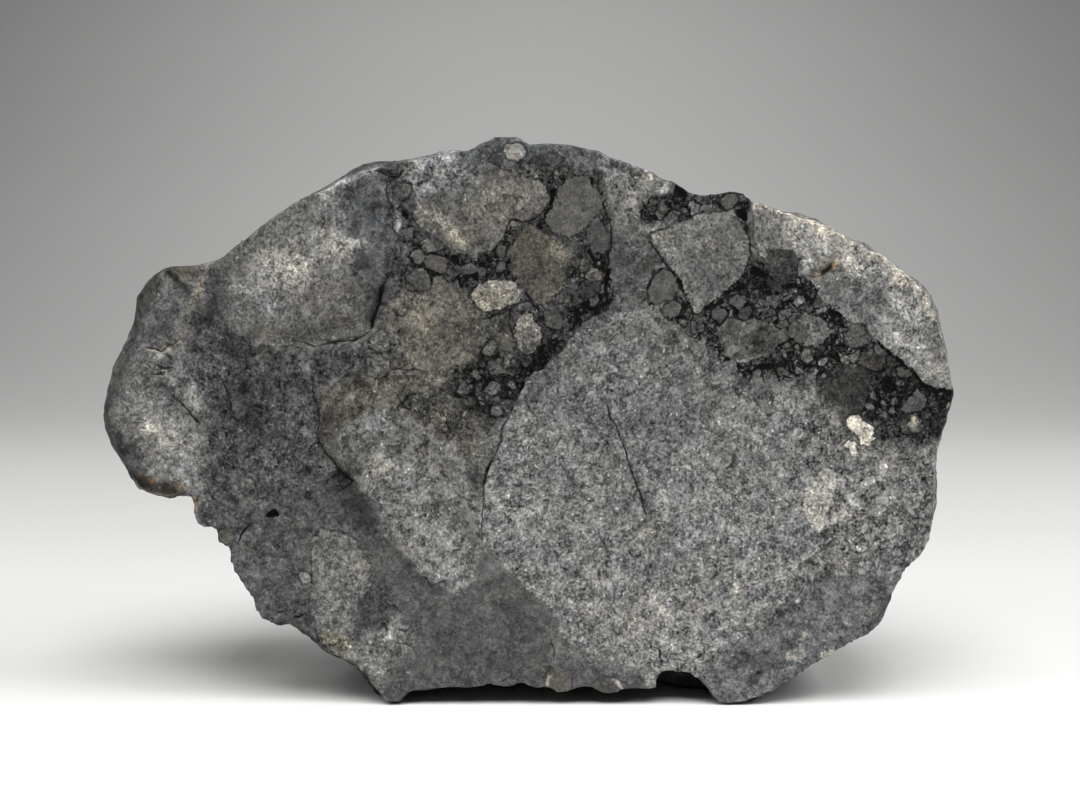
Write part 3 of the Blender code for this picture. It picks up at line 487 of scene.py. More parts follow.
PATCHES = laid_out(Patch, (
    # left lobe
    (1.6, 0.1, 0.2, 0, -22.9, 17.6, -22, 17.2),
    (0.45, 0.24, 0.4, 0, -24.4, 18.4, -24, 18.3),
    (0.5, 0.14, 0.2, 0, -21.3, 20.2, -20.9, 19.6),
    (0.25, 0.14, 0, 0, -21.1, 21, -21.1, 21.2),
    # painted shade: a dark band along the rounded left edge of the lobe, where it turns
    # away from the light
    (0.7, -0.16, 0, 0, -26, 16.6, -26.8, 18.4, -26.8, 20, -26.2, 21.6, -25.2, 24,
     -24.6, 26.2, -23.4, 27.6),
    (0.6, -0.12, -0.2, 0, -25.6, 16.8, -24.9, 16.2),
    (0.9, -0.06, -0.3, 0, -23.6, 24.5, -22.4, 25.6),
    # painted shade: the dark inside of the chip at the top of the lobe
    (0.24, -0.28, 0, 0, -22.7, 28.3, -22, 27.6, -21.3, 26.9),
    (0.16, 0.12, 0.8, 0.15, -24, 23.1, -22.6, 23.4),
    (0.2, 0.08, 0.8, 0.4, -22.6, 23.75, -22.1, 23.75),
    (0.16, 0.06, 0.8, 0.15, -21.9, 24.2, -21, 26.4),
    (0.25, 0.1, 0.9, 0.25, -20.9, 26.7, -20.5, 27.6),
    (0.4, -0.12, 0.5, 0.3, -22.3, 28.4, -21.3, 27.9),
    (0.8, -0.05, 0, 0, -24.4, 26.4, -22.2, 24.2),
    # painted highlight: the lit ledge behind the chip at the top of the lobe
    (0.3, 0.14, 0, 0, -21.1, 28.4, -20.3, 28.6),
    (0.5, -0.26, 0.6, 0.3, -25.6, 15.3, -24.2, 14.5, -22.4, 14.1),
    (0.28, -0.03, 0.6, 0.5, -24.7, 15.2, -24, 14.95),
    (0.2, 0, 0.6, 0.35, -22.3, 14.5, -22.1, 14.4),
    (0.2, 0.05, 0.6, 0.7, -21.4, 13.8, -21.3, 13.1),
    # painted shade along the crease of the lobe, beside its crack
    (0.35, -0.1, -0.1, 0, -23.4, 21.2, -20.9, 18.6),
    # warm grey block, and the ground right of it and under it
    (1.1, 0.27, 0.5, 0, -15.8, 28.4, -14.6, 28.3),
    (0.5, 0.13, 0, 0, -18.4, 27.4, -17, 26.7),
    (0.45, 0.1, -0.3, 0, -16.4, 26.1, -15.9, 25.8),
    (0.5, 0.24, 0.3, 0, -11.8, 29.9, -10.3, 29.9),
    (0.8, 0.11, 0.2, 0, -13.8, 30.3, -12.2, 30.5),
    (0.5, 0.08, 0.3, 0, -12.4, 29.3, -11.4, 29.4),
    (0.16, 0.18, 0.1, 0, -8.15, 32.6, -8.1, 31.6, -7.9, 30.7),
    (0.2, -0.24, 0, 0, -7.9, 32.3, -7.4, 31.6),
    (0.18, -0.12, 0, 0, -8.9, 34.3, -8.2, 34.1),
    (0.28, -0.16, 0, 0, -9.9, 25, -9.6, 26, -9.1, 27.2),
    (0.22, -0.16, 0, 0, -10.7, 21.6, -10.3, 21),
    (0.18, -0.16, 0, 0, -9.2, 22.3, -9, 21.7),
    (0.3, -0.09, 0, 0, -13.1, 17, -12.3, 16, -11.6, 15),
    (0.8, -0.09, -0.3, 0, -10.5, 28.8, -9.8, 27.4),
    (0.7, 0.1, 0, 0, -4.9, 34.5, -3.6, 34.2),
    (0.8, -0.14, -0.4, 0, -20.2, 25.6, -19.4, 26.3),
    (0.8, -0.1, 0, 0, -19.4, 27.9, -18.6, 28.4),
    (0.7, -0.09, 0.3, 0, -14.4, 24.3, -11.6, 24.9),
    (0.7, -0.05, 0, 0, -18.8, 24.4, -17.4, 24.2),
    (0.8, 0.07, 0, 0, -19.4, 22.6, -17.6, 21.6),
    (0.7, -0.08, 0, 0, -10.8, 26.8, -10.2, 25.4),
    (0.6, -0.07, 0.3, 0, -17, 24.4, -15.4, 24.4),
    (0.9, -0.03, 0.2, 0, -13.4, 26.4, -11, 27.4),
    (0.2, 0.26, 0.1, 0, -13, 33.2, -12, 33.6, -11, 34, -10, 34.4, -9.3, 34.7),
    (0.2, 0.12, 0, 0, -12.6, 32.9, -12.2, 32.8),
    # dark matrix, brown ground and the edge under them
    (0.9, -0.07, -0.3, 0, -18.8, 23.2, -17.6, 21.4),
    (0.8, -0.06, -0.2, 0, -18.2, 20.6, -17.6, 18.8),
    (1, 0.05, 0, 0, -16.6, 16, -15.2, 14.8),
    (0.2, 0.14, 0, 0, -14.4, 22.2, -14, 22),
    (0.7, 0.1, 0.2, 0, -12.6, 15.2, -12.2, 16.4),
    (0.9, -0.05, -0.1, 0, -10.6, 13.4, -9.8, 12.2),
    (1.3, -0.1, 0.1, 0, -12.4, 18.6, -11.2, 16),
    (1, -0.05, 0.1, 0, -10.2, 17, -8, 18.4),
    (0.8, -0.07, 0, 0, -12, 14.6, -10.4, 12.9),
    (0.5, -0.09, 0, 0, -8.6, 10.9, -7.4, 9.4),
    (0.8, 0.07, 0, 0, -20.4, 22.2, -19.8, 21.4),
    (0.8, 0.09, 0, 0, -21.8, 14.8, -20.2, 14),
    (0.8, -0.13, 0, 0, -13.2, 2.8, -11.2, 2),
    (0.8, 0.07, 0, 0, -14.6, 19.4, -13.8, 17.6),
    (0.6, 0.12, 0.4, 0, -9.6, 15.9, -9, 15.6),
    (0.28, 0.16, 0.6, 0, -5.7, 21.4, -5.5, 21.4),
    (0.3, 0.12, 0.6, 0, -5.5, 19, -5.3, 19),
    (1.3, -0.07, 0.2, 0, -7.2, 17.2, -5.6, 16.8),
    (0.5, 0.06, 0, 0, -8.3, 24.4, -7.7, 23.6),
    (0.8, 0.035, 0, 0, -3.4, 8.4, -2, 9.4),
    (0.5, -0.08, 0, 0, -4.4, 20, -4.2, 19.6),
    (0.6, 0.05, 0.1, 0, -4.4, 22.3, -3.6, 21.8),
    (0.5, 0.05, 0, 0, -2.2, 20.4, -1.7, 19.4),
    (0.42, 0.1, 2.4, 0.1, -13.1, 4.5, -12.1, 4),
    (0.2, 0.16, 0.3, 0, -11.9, 4.4, -11.7, 4),
    (0.4, 0.06, 0, 0, -10.6, 3.4, -10.2, 2.6),
    (0.2, 0.22, 0, 0, -9.3, 4.4, -8.8, 4.6),
    (0.8, 0.07, 0, 0, -12, 9.5, -11.2, 8.8),
    # crown, central blocks and square block
    (0.35, 0.2, 0.1, 0, -7, 34.6, -4.6, 35.4),
    (0.28, 0.24, 0.4, 0, -5.6, 31.6, -4.9, 30.8),
    (0.32, 0.15, 0.5, 0, -4.8, 30.8, -4.1, 30),
    (0.6, 0.06, 0.3, 0, -2.4, 32.9, -0.2, 32.9),
    (0.8, -0.02, -0.4, 0, -5.8, 33.2, -4, 33.4),
    (0.4, 0.15, 0.3, 0, 1.7, 29.9, 2.5, 29.3),
    (0.3, 0.07, 0.3, 0, 0.5, 30.6, 1.1, 30.3),
    (0.3, 0.08, 0.6, 0, 1.8, 26.8, 2.1, 27.4),
    (0.25, 0.2, 0.2, 0, -3, 25.95, -2.8, 25.9),
    (0.25, 0.09, 0.3, 0, -0.3, 25.2, 0.1, 25.1),
    (0.6, 0.06, 0.4, 0, -7, 25.6, -6.2, 24.6),
    (0.9, -0.05, 0, 0, -4.4, 24.6, -3.6, 22.8),
    (0.45, -0.07, 0, 0, 0, 24.4, 0.1, 24),
    (0.25, 0.22, 0.5, 0, 7.4, 34.6, 7.7, 33.9),
    (0.22, 0.25, 0, 0, 8.5, 33.2, 8.6, 33.1),
    (0.5, -0.06, 0, 0, 5.7, 32.4, 6.6, 31.6),
    (0.5, 0.1, 0.2, 0, 8.2, 30.3, 8.8, 29.8),
    (0.3, 0.08, 0.2, 0, 11.2, 30.2, 11.6, 30),
    (0.35, 0.05, 0.1, 0, 8, 30.3, 10.8, 31.3),
    (0.4, 0.05, 0, 0, 9.4, 28.4, 10.6, 26.2),
    (0.7, -0.06, 0, 0, 11.8, 30.2, 12.6, 29.2),
    (0.8, -0.05, 0, 0, 10.4, 28.4, 11.4, 27.6),
    (0.6, -0.05, 0, 0, 5.4, 30, 6.2, 27.4),
    # great coarse block and round it
    (2.2, -0.06, -0.1, 0, 1, 21.2, 5.4, 18.4, 10, 19),
    (1.6, -0.05, 0, 0, 7.2, 24.6, 11.8, 20.4),
    (0.7, -0.06, 0, 0, 5.8, 24.3, 8, 24, 10.4, 23.6),
    (0.8, -0.08, -0.1, 0, 0.4, 21, 2.4, 22.9, 4.6, 24.4),
    (0.35, -0.07, 0, 0, 6.8, 15.4, 7.6, 13),
    (0.5, -0.06, 0, 0, 7.6, 12.4, 8.6, 11),
    (0.4, 0.1, 0.3, 0, 8.4, 15, 8.6, 13.4),
    (0.4, 0.11, 0.3, 0, 8.3, 7.4, 8.6, 6),
    (0.35, 0.1, 0.1, 0, 2.2, 17, 2.6, 16.9),
    (0.35, 0.13, 0.4, 0, 13.4, 8, 13.5, 7.2),
    (0.8, 0.04, 0.1, 0, 1, 12.4, -1.6, 13),
    (0.4, 0.08, 0.1, 0, -1.8, 13.6, -1.6, 12.6),
    (2.4, 0.03, 0.1, 0, 4, 6.8, 10, 5),
    (1.4, 0.05, 0, 0, 9.4, 4.2, 13, 4.4),
    (1.8, 0.05, 0, 0, 12, 11.6, 15.6, 8.6),
    (1.6, 0.05, 0, 0, 19.4, 13.6, 21.4, 10.4),
    (0.8, 0.03, 0, 0, 2, 2.6, 6.4, 2.2),
    (0.5, -0.22, -0.1, 0, -3.5, 15.2, -3.3, 14.4),
    (0.4, -0.06, 0, 0, -3.8, 13, -3.2, 11.4),
    # bright block, right rubble and right side
    (0.14, 0.4, 0, 0, 15.7, 32, 15.75, 31.9),
    (0.4, 0.2, 0.6, 0, 18, 31.1, 18.7, 30.6),
    (0.4, 0.08, 0.2, 0, 15.4, 31.2, 16.6, 30.6),
    (0.4, 0.13, 0, 0, 18.2, 29.9, 18.9, 29.6),
    (0.5, 0.17, 0.1, 0, 20.2, 28.8, 21.4, 28.2),
    (0.3, 0.16, 0.3, 0, 16.6, 31, 16.9, 29.8, 17.6, 29),
    (0.8, -0.1, 0, 0, 14.9, 31.2, 15.4, 30.2),
    (0.6, 0.07, 0, 0, 20.2, 29.4, 22.2, 28.2),
    (0.7, -0.08, 0, 0, 21.6, 27.4, 22.4, 26.4),
    (0.6, 0.08, 0, 0, 22.8, 24.6, 24.2, 23.4),
    (0.5, -0.08, -0.1, 0, 25.4, 24.4, 26.2, 22.6),
    (0.35, 0.14, 0.8, 0, 23, 27.8, 23.6, 27.4),
    (0.4, 0.16, 0.1, 0, 23.2, 26.6, 23.8, 25.6),
    (0.5, 0.1, 0.2, 0, 24.4, 26.2, 24.8, 25.2),
    # tan colour with a painted highlight along the upper right edge, where light falls
    # from above
    (0.25, 0.1, 0.7, 0, 14.6, 32.4, 16, 31.9, 18, 31.2, 20, 30.2, 22, 29, 24, 27.6,
     25.1, 26.6, 25.6, 25.2),
    (0.4, -0.08, 0.8, 0.25, 18.2, 28.1, 18.7, 28.5, 19.3, 28.5),
    (0.2, -0.36, 0.3, 0.1, 18.6, 28.2, 18.9, 28.35, 19, 28.6),
    (0.18, 0.02, 0.8, 0.3, 19.2, 28.75, 19.5, 28.85),
    (0.22, 0.06, 0.9, 0.2, 18, 28, 18.2, 27.9),
    (0.7, -0.1, -0.1, 0, 19.8, 26.4, 18.6, 27.2),
    (0.12, 0.3, 0.1, 0, 17.2, 26.4, 17.25, 26.2),
    (0.8, -0.07, -0.2, 0, 20.8, 26.4, 21.6, 24.8),
    (0.6, 0.04, 0, 0, 24.2, 23.6, 25.4, 22.4),
    (0.22, 0.28, 1.2, 0.1, 24.7, 19, 24.6, 18.5),
    (0.6, 0.07, 0, 0, 16, 20.4, 17, 19.8),
    (0.8, 0.05, 0.1, 0, 20.4, 13.6, 21.2, 12.8),
    (0.8, -0.03, 0, 0, 24.6, 15, 24.4, 12),
    (0.8, -0.04, -0.3, 0, 24.4, 10.4, 23, 9),
    (0.8, -0.1, -0.4, 0, 13.5, 3.8, 15, 3),
    (0.6, -0.05, -0.3, 0, 11.8, 2.2, 13.4, 2.4),
    (0.5, -0.08, -0.1, 0, 15.6, 5.2, 17, 6.4),
    (0.4, -0.1, 0, 0, 22.6, 5.6, 23.4, 6.8),
    (0.3, -0.04, 0, 0, 25.6, 11, 26.1, 15),
))

CRACKS = laid_out(Crack, (
    # left edge of the great coarse block
    (0.06, 0.2, 22.1, 0.1, 21.6, -0.5, 20.6, -0.9, 19.7, -1.6, 18, -1.8, 17,
     -2.2, 16.1),
    (0.13, -2.2, 16.1, -2.45, 15.7, -2.7, 15.1, -2.85, 14.6),
    (0.04, -2.85, 14.6, -2.95, 13.4, -2.85, 12.2, -2.95, 11),
    # through the great coarse block
    (0.07, 5.1, 19.7, 5.5, 18.6, 5.9, 17.5, 6.35, 16.4, 6.7, 15.5, 7, 14.5, 7.35, 13.4,
     7.5, 12.8),
    # small forked crack over the notch
    (0.06, 8.05, 4, 8.4, 3.85, 8.7, 3.7, 8.65, 3.2, 8.7, 2.8),
    # left ground
    (0.04, -13.7, 21.6, -13.6, 20.2, -13.2, 18.8, -13.4, 17.8),
    (0.09, -13.4, 17.8, -13.1, 17, -12.3, 16, -11.7, 15.1, -11.2, 14.8),
    (0.04, -13.3, 17.4, -14, 16.9, -14.6, 16.3),
    (0.05, -11.2, 14.8, -11.7, 14.3, -12.2, 14.1),
    (0.05, -6.7, 8.6, -6.2, 8, -5.3, 8.3),
    (0.06, -8.4, 22, -7.6, 22.05, -7, 22),
    (0.05, -14.9, 23.7, -14.2, 23.7, -13.5, 23.5),
    (0.07, -12.7, 23.7, -11.9, 23.9, -10.9, 23.8, -10.2, 24.3),
    (0.13, -9.1, 27, -9.35, 26.2, -9.7, 25.3, -9.9, 24.7),
    (0.07, -19.4, 21.4, -19, 20.4, -18.9, 19.4),
    # crease and slits of the left lobe
    (0.04, -23.2, 21, -22.6, 20.5, -22, 19.9),
    (0.07, -22, 19.9, -21.4, 19.15, -21, 18.7),
    (0.12, -23.35, 22.2, -23.1, 22.15, -22.8, 22.15),
    (0.1, -23.8, 21.75, -23.5, 21.85, -23.3, 21.8),
    (0.06, -24, 23.35, -23.2, 23.25, -22.6, 23.6, -22.2, 23.85),
    (0.1, -18, 11.9, -18.2, 11.6, -18.5, 11),
    (0.11, -15.1, 5.85, -14.85, 5.95, -14.6, 6.1),
    # melt veins and slits between the blocks
    (0.08, 4.8, 32.3, 5.3, 31, 5.35, 30, 5.1, 29.2, 5, 28, 5, 27, 4.5, 26.2, 3.6, 25.6),
    (0.05, -1.3, 30.6, -1.05, 31.4, -0.2, 31.25, 0.6, 31.5, 1.1, 32.1),
    (0.06, -2.7, 25.2, -1.5, 25.6, -0.6, 26.2, 0.2, 26.2, 0.8, 25.7),
    (0.05, -1.1, 25.6, -1.15, 24.9, -1, 24.4),
    (0.07, 7.75, 30, 8.2, 29.4, 8.8, 28.6),
    (0.06, 13.7, 31.1, 13.85, 30.2, 14.1, 29.3),
    (0.05, 1.6, 4.1, 1.75, 3.7, 1.7, 3.3),
    (0.05, -7, 28.6, -7.7, 27.8, -7.6, 27, -6.9, 26.9),
    (0.08, -9.4, 34.4, -8.7, 34, -8.1, 33.9, -7.8, 34.3),
    (0.04, -8.7, 34, -8.8, 33, -8.4, 32, -8.3, 30.9, -7.7, 30.2),
))


# Sculpting: noise, distances and the layers of the sawn face. Lengths are in mm.


# noise: how many cells its table has each way, and where it starts, in cells
NOISE_TABLE = 24
NOISE_START = 240.0

# what a line without length is divided by
TINY = 1e-9

# clasts: the distance that counts as far from any, and the look kept there
FAR_FROM_CLAST = -1.5
NO_CLAST_LOOK = (0.3, 0.0, 0.05)

# how clasts shift to the right and up from the front to the back, and how they wander
CLAST_LEAN = (2.0, -1.5)
CLAST_DRIFT = 4.5
DRIFT_BUILD_UP = 1.5
DRIFT_SIZE = 13.0
DRIFT_SEED = 31

# how far and over which length drawn outlines are shaken
EDGE_SHAKE = (0.13, 0.7)
ZONE_SHAKE = (0.5, 1.9)
SHAKE_SEEDS = (41, 42)

# rubble: radius and number of the throws, the places that take it, and its looks
RUBBLE_THROWS = ((0.8, 500), (0.5, 1200), (0.32, 2500))
RUBBLE_LEAST = 0.3
RUBBLE_CHANCE = 1.7
RUBBLE_CLEAR = 0.9
RUBBLE_GAP = 0.05
RUBBLE_SIZES = (0.8, 1.25)
RUBBLE_CORNERS = (5, 8)
RUBBLE_CORNER_SHIFT = 0.35
RUBBLE_SPANS = (0.75, 1.1)
RUBBLE_FLATNESS = (0.75, 1.0)
RUBBLE_TONES = (0.22, 0.44)
RUBBLE_WARMTHS = (-0.2, 0.4)
RUBBLE_GRAIN = 0.10
RUBBLE_OUTLINED = (0.1, 0.7)
FRONT_RUBBLE_SEED = 7
BACK_RUBBLE_SEED = 8


def soft_noise(points, size, seed):
    """Random values from -1 to 1 that change smoothly over about size mm."""
    table = np.random.default_rng(seed).uniform(-1, 1, (NOISE_TABLE,) * 3)
    scaled = points / size + NOISE_START
    cell = np.floor(scaled).astype(int)
    share = scaled - cell
    share = share * share * (3 - 2 * share)
    total = np.zeros(len(points))
    for corner in np.ndindex(2, 2, 2):
        place = (cell + corner) % NOISE_TABLE
        weight = np.prod(np.where(corner, share, 1 - share), axis=1)
        total += weight * table[place[:, 0], place[:, 1], place[:, 2]]
    return total


def smooth(value, low, high):
    """0 below low and 1 above high, with a smooth rise between."""
    share = np.clip((value - low) / (high - low), 0, 1)
    return share * share * (3 - 2 * share)


def to_line(points, start, end):
    """Squared distance of the points from a short line, and which side they are on."""
    along = np.subtract(end, start)
    offset = points - start
    share = np.clip(offset @ along / max(along @ along, TINY), 0, 1)
    across = offset - share[:, None] * along
    side = np.sign(offset[:, 0] * along[1] - offset[:, 1] * along[0])
    return (across**2).sum(axis=1), side


def inside_distance(points, outline):
    """Distance of the points from a closed outline, positive inside it."""
    nearest = np.full(len(points), np.inf)
    inside = np.zeros(len(points), bool)
    for start, end in zip(outline, outline[1:] + outline[:1]):
        squared, _ = to_line(points, start, end)
        nearest = np.minimum(nearest, squared)
        spans = (start[1] > points[:, 1]) != (end[1] > points[:, 1])
        rise = end[1] - start[1] or 1.0
        crossing = start[0] + (points[:, 1] - start[1]) * (end[0] - start[0]) / rise
        inside ^= spans & (points[:, 0] < crossing)
    return np.where(inside, 1, -1) * np.sqrt(nearest)


def lay_clasts(points, clasts):
    """Distance into the nearest clast, its look, and how dark its outline is."""
    edge = np.full(len(points), FAR_FROM_CLAST)
    look = np.tile(NO_CLAST_LOOK, (len(points), 1))
    outlined = np.zeros(len(points))
    for clast in clasts:
        corners = np.array(clast.outline)
        low = corners.min(axis=0) + FAR_FROM_CLAST
        high = corners.max(axis=0) - FAR_FROM_CLAST
        near = np.flatnonzero(((points > low) & (points < high)).all(axis=1))
        distance = inside_distance(points[near], clast.outline)
        nearer = distance > edge[near]
        chosen = near[nearer]
        edge[chosen] = distance[nearer]
        look[chosen] = clast.tone, clast.warmth, clast.grain
        outlined[chosen] = clast.outlined
    return edge, look, outlined


def paint_zones(points):
    """Tone, warmth, grain and rubble of the ground at the points."""
    look = np.tile(BASE_LOOK, (len(points), 1))
    for zone in ZONES:
        weight = smooth(inside_distance(points, zone.outline), -zone.fade, zone.fade)
        own = np.array((zone.tone, zone.warmth, zone.grain, zone.rubble))
        look += weight[:, None] * (own - look)
    return look


def paint_patches(points):
    """What the soft spots add to tone and warmth, and the rust, at the points."""
    added = np.zeros((len(points), 3))
    for patch in PATCHES:
        squared = np.full(len(points), np.inf)
        for start, end in zip(patch.path, patch.path[1:]):
            squared = np.minimum(squared, to_line(points, start, end)[0])
        weight = np.exp(-squared / patch.radius**2)
        added += weight[:, None] * np.array((patch.tone, patch.warmth, patch.rust))
    return added


def follow_cracks(points):
    """Side distance, plain distance and half width of the nearest crack."""
    nearest = np.full(len(points), np.inf)
    side = np.ones(len(points))
    half_width = np.zeros(len(points))
    for crack in CRACKS:
        for start, end in zip(crack.path, crack.path[1:]):
            squared, own_side = to_line(points, start, end)
            nearer = squared < nearest
            nearest = np.where(nearer, squared, nearest)
            side = np.where(nearer & (own_side != 0), own_side, side)
            half_width = np.where(nearer, crack.half_width, half_width)
    distance = np.sqrt(nearest)
    return side * distance, distance, half_width


def through_stone(points):
    """Where the clast at each point of the stone meets the front face."""
    depth = np.clip((points[:, 1] - FRONT_Y) / THICKNESS, 0, 1)
    flat = points[:, (0, 2)].copy()
    for axis, lean in enumerate(CLAST_LEAN):
        bend = soft_noise(points * (1, 0, 1), DRIFT_SIZE, DRIFT_SEED + axis)
        flat[:, axis] += depth * lean + depth**DRIFT_BUILD_UP * CLAST_DRIFT * bend
    return flat


def wavy(flat, points, shake=EDGE_SHAKE):
    """The same places, shaken a little, so that drawn outlines come out uneven."""
    reach, size = shake
    return flat + reach * np.stack(
        [soft_noise(points, size, seed) for seed in SHAKE_SEEDS], axis=1
    )


def scatter_rubble(side_y, kept_free, seed):
    """Small angular clasts thrown into one face's rubble zones, clear of each other."""
    dice = np.random.default_rng(seed)
    box_low = np.array((CAD_BOX[0].x, CAD_BOX[0].z)) / MM
    box_high = np.array((CAD_BOX[1].x, CAD_BOX[1].z)) / MM
    found = []
    places = np.empty((0, 2))
    sizes = np.empty(0)
    for radius, throws in RUBBLE_THROWS:
        tries = dice.uniform(box_low, box_high, (throws, 2))
        solid = np.stack((tries[:, 0], np.full(throws, side_y), tries[:, 1]), axis=1)
        flat = through_stone(solid)
        rubble = paint_zones(flat)[:, 3]
        taken = np.maximum(
            lay_clasts(flat, BLOCKS)[0], lay_clasts(tries, kept_free)[0]
        )
        likely = dice.uniform(0, 1, throws) < (rubble - RUBBLE_LEAST) * RUBBLE_CHANCE
        for place in tries[likely & (taken < -radius * RUBBLE_CLEAR)]:
            size = radius * dice.uniform(*RUBBLE_SIZES)
            away = np.hypot(*(places - place).T)
            if np.any(away < sizes + size + RUBBLE_GAP):
                continue
            places = np.vstack((places, place))
            sizes = np.append(sizes, size)
            corners = dice.integers(*RUBBLE_CORNERS)
            shifts = dice.uniform(-RUBBLE_CORNER_SHIFT, RUBBLE_CORNER_SHIFT, corners)
            turns = np.sort(shifts + np.arange(corners))
            angles = turns * math.tau / corners + dice.uniform(0, math.tau)
            spans = size * dice.uniform(*RUBBLE_SPANS, corners)
            flatness = dice.uniform(*RUBBLE_FLATNESS)
            outline = tuple(
                (place[0] + s * math.cos(a), place[1] + s * flatness * math.sin(a))
                for s, a in zip(spans, angles)
            )
            tone = dice.uniform(*RUBBLE_TONES)
            warmth = dice.uniform(*RUBBLE_WARMTHS)
            outlined = dice.uniform(*RUBBLE_OUTLINED)
            found.append(Clast(tone, warmth, RUBBLE_GRAIN, outlined, outline))
    return tuple(found)


# Modelling helpers


def pick(obj):
    """Makes obj the only selected object and the active one."""
    bpy.ops.object.select_all(action="DESELECT")
    obj.select_set(True)
    bpy.context.view_layer.objects.active = obj


def vertices_of(mesh, what="co"):
    """Places or normals of a mesh's vertices as rows of three."""
    values = np.zeros(len(mesh.vertices) * 3, np.float32)
    mesh.vertices.foreach_get(what, values)
    return values.reshape(-1, 3).astype(float)


def keep_values(mesh, name, values):
    """Stores three numbers at each vertex, for the finish to read."""
    layer = mesh.attributes.new(name, "FLOAT_VECTOR", "POINT")
    layer.data.foreach_set("vector", values.astype(np.float32).ravel())


# The sawn faces: how near a vertex is laid flat on them, how chips narrow and patches
# fade below them, and how deep things are cut. A noise is given as its size and seed.
FACE_SNAP = 0.26
CHIP_TAPER = 0.3
PATCH_DEPTH = 2.5
CLAST_EDGE = (-0.1, 0.1)
POOL_TONE = 0.12
POOL_EDGE = (-0.05, 0.15)
MELT_CUT = 0.06
POOL_CUT = 0.09
CRACK_CUT = 0.05
CRACK_SLOPE = 0.12
GRAIN_CUT = 0.012
GRAIN_NOISE = (0.35, 51)
PIT_CUT = 0.07
PIT_NOISE = (0.55, 52)
PIT_EDGE = (0.62, 0.85)

# The rim: where it starts, its bumps as reach, size and seed, its pits, and how much of
# that stays near the floor, on faces that look forwards and at the edge of a sawn face.
RIM_START = (0.35, 1.3)
RIM_WANDER = 0.25
RIM_NOISE = (0.9, 60)
RIM_BUMPS = ((0.15, 2.6, 61), (0.11, 1.1, 62), (0.11, 0.5, 63))
RIM_PIT = 0.22
RIM_PIT_NOISE = (1.7, 64)
RIM_PIT_EDGE = (0.35, 0.75)
RIM_WEAR = 0.02
FLOOR_EDGE = (0.05, 0.5)
FACING = (0.9, 0.98)
SAWN_EDGE = (0.1, 1.2)
SAWN_EDGE_SHARE = 0.6


def sculpt(mesh, settings):
    """Cuts melt, cracks and pits into the stone, and stores what the finish needs."""
    solid = vertices_of(mesh) / MM
    normal = vertices_of(mesh, "normal")
    front = solid[:, 1] < FRONT_Y + FACE_SNAP
    back = solid[:, 1] > BACK_Y - FACE_SNAP
    on_face = front | back
    solid[front, 1] = FRONT_Y
    solid[back, 1] = BACK_Y
    depth = solid[:, 1] - FRONT_Y
    height = THICKNESS - depth

    # what each place belongs to: the ground and the blocks go through the stone, while
    # chips and rubble belong to the nearer sawn face
    flat = wavy(through_stone(solid), solid)
    ground = paint_zones(wavy(flat, solid, ZONE_SHAKE))
    block_edge, block_look, block_outlined = lay_clasts(flat, BLOCKS)
    front_rubble = scatter_rubble(FRONT_Y, CHIPS, FRONT_RUBBLE_SEED)
    back_rubble = scatter_rubble(BACK_Y, (), BACK_RUBBLE_SEED)
    near_front = depth < THICKNESS / 2
    face = wavy(solid[:, (0, 2)], solid)
    chip_edge = np.full(len(solid), FAR_FROM_CLAST)
    chip_look = np.zeros((len(solid), 3))
    chip_outlined = np.zeros(len(solid))
    for side, clasts, below in (
        (near_front, CHIPS + front_rubble, depth),
        (~near_front, back_rubble, height),
    ):
        edge, chip_look[side], chip_outlined[side] = lay_clasts(face[side], clasts)
        chip_edge[side] = edge - below[side] * CHIP_TAPER
    side_distance, crack_distance, half_width = follow_cracks(flat)
    added = paint_patches(face) * np.exp(-((depth / PATCH_DEPTH) ** 2))[:, None]

    # how deep the sawn faces are cut
    clear = smooth(np.maximum(block_edge, chip_edge), *CLAST_EDGE)
    melt = ground[:, 3] * (1 - clear)
    melt_pool = smooth(chip_edge, *POOL_EDGE) * (chip_look[:, 0] < POOL_TONE)
    cut = MELT_CUT * melt + POOL_CUT * melt_pool
    crack_reach = np.clip(1 - crack_distance / (half_width + CRACK_SLOPE), 0, 1)
    cut += (CRACK_CUT + half_width) * crack_reach
    cut += GRAIN_CUT * (1 + soft_noise(solid, *GRAIN_NOISE))
    cut += PIT_CUT * smooth(soft_noise(solid, *PIT_NOISE), *PIT_EDGE) * on_face

    # how far the rim is bumped and pitted: less at the sawn faces, and not at the feet
    to_edge = np.minimum(depth, height)
    rim = smooth(to_edge + RIM_WANDER * soft_noise(solid, *RIM_NOISE), *RIM_START)
    rough = sum(reach * soft_noise(solid, *noise) for reach, *noise in RIM_BUMPS)
    rough -= RIM_PIT * smooth(soft_noise(solid, *RIM_PIT_NOISE), *RIM_PIT_EDGE)
    rough -= RIM_WEAR
    flat_faced = smooth(np.abs(normal[:, 1]), *FACING) * on_face
    near_floor = 1 - smooth(solid[:, 2], *FLOOR_EDGE)
    push = rough * (1 - flat_faced) * (1 - near_floor) * settings.roughness_of_rim
    push *= SAWN_EDGE_SHARE + (1 - SAWN_EDGE_SHARE) * smooth(to_edge, *SAWN_EDGE)
    solid += normal * push[:, None]
    solid[front, 1] = FRONT_Y + cut[front]
    solid[back, 1] = BACK_Y - cut[back]
    low, high = (np.array(corner) / MM for corner in CAD_BOX)
    solid = np.clip(solid, low, high)
    mesh.vertices.foreach_set("co", (solid * MM).astype(np.float32).ravel())
    mesh.update()

    for name, values in (
        ("ground_look", ground[:, :3]),
        ("block_look", block_look),
        ("chip_look", chip_look),
        ("block_edge", np.stack((block_edge, block_outlined, ground[:, 3]), axis=1)),
        ("chip_edge", np.stack((chip_edge, chip_outlined, rim), axis=1)),
        ("crack", np.stack((side_distance, crack_distance, half_width), axis=1)),
        ("added", added),
    ):
        keep_values(mesh, name, values)


# Finishes


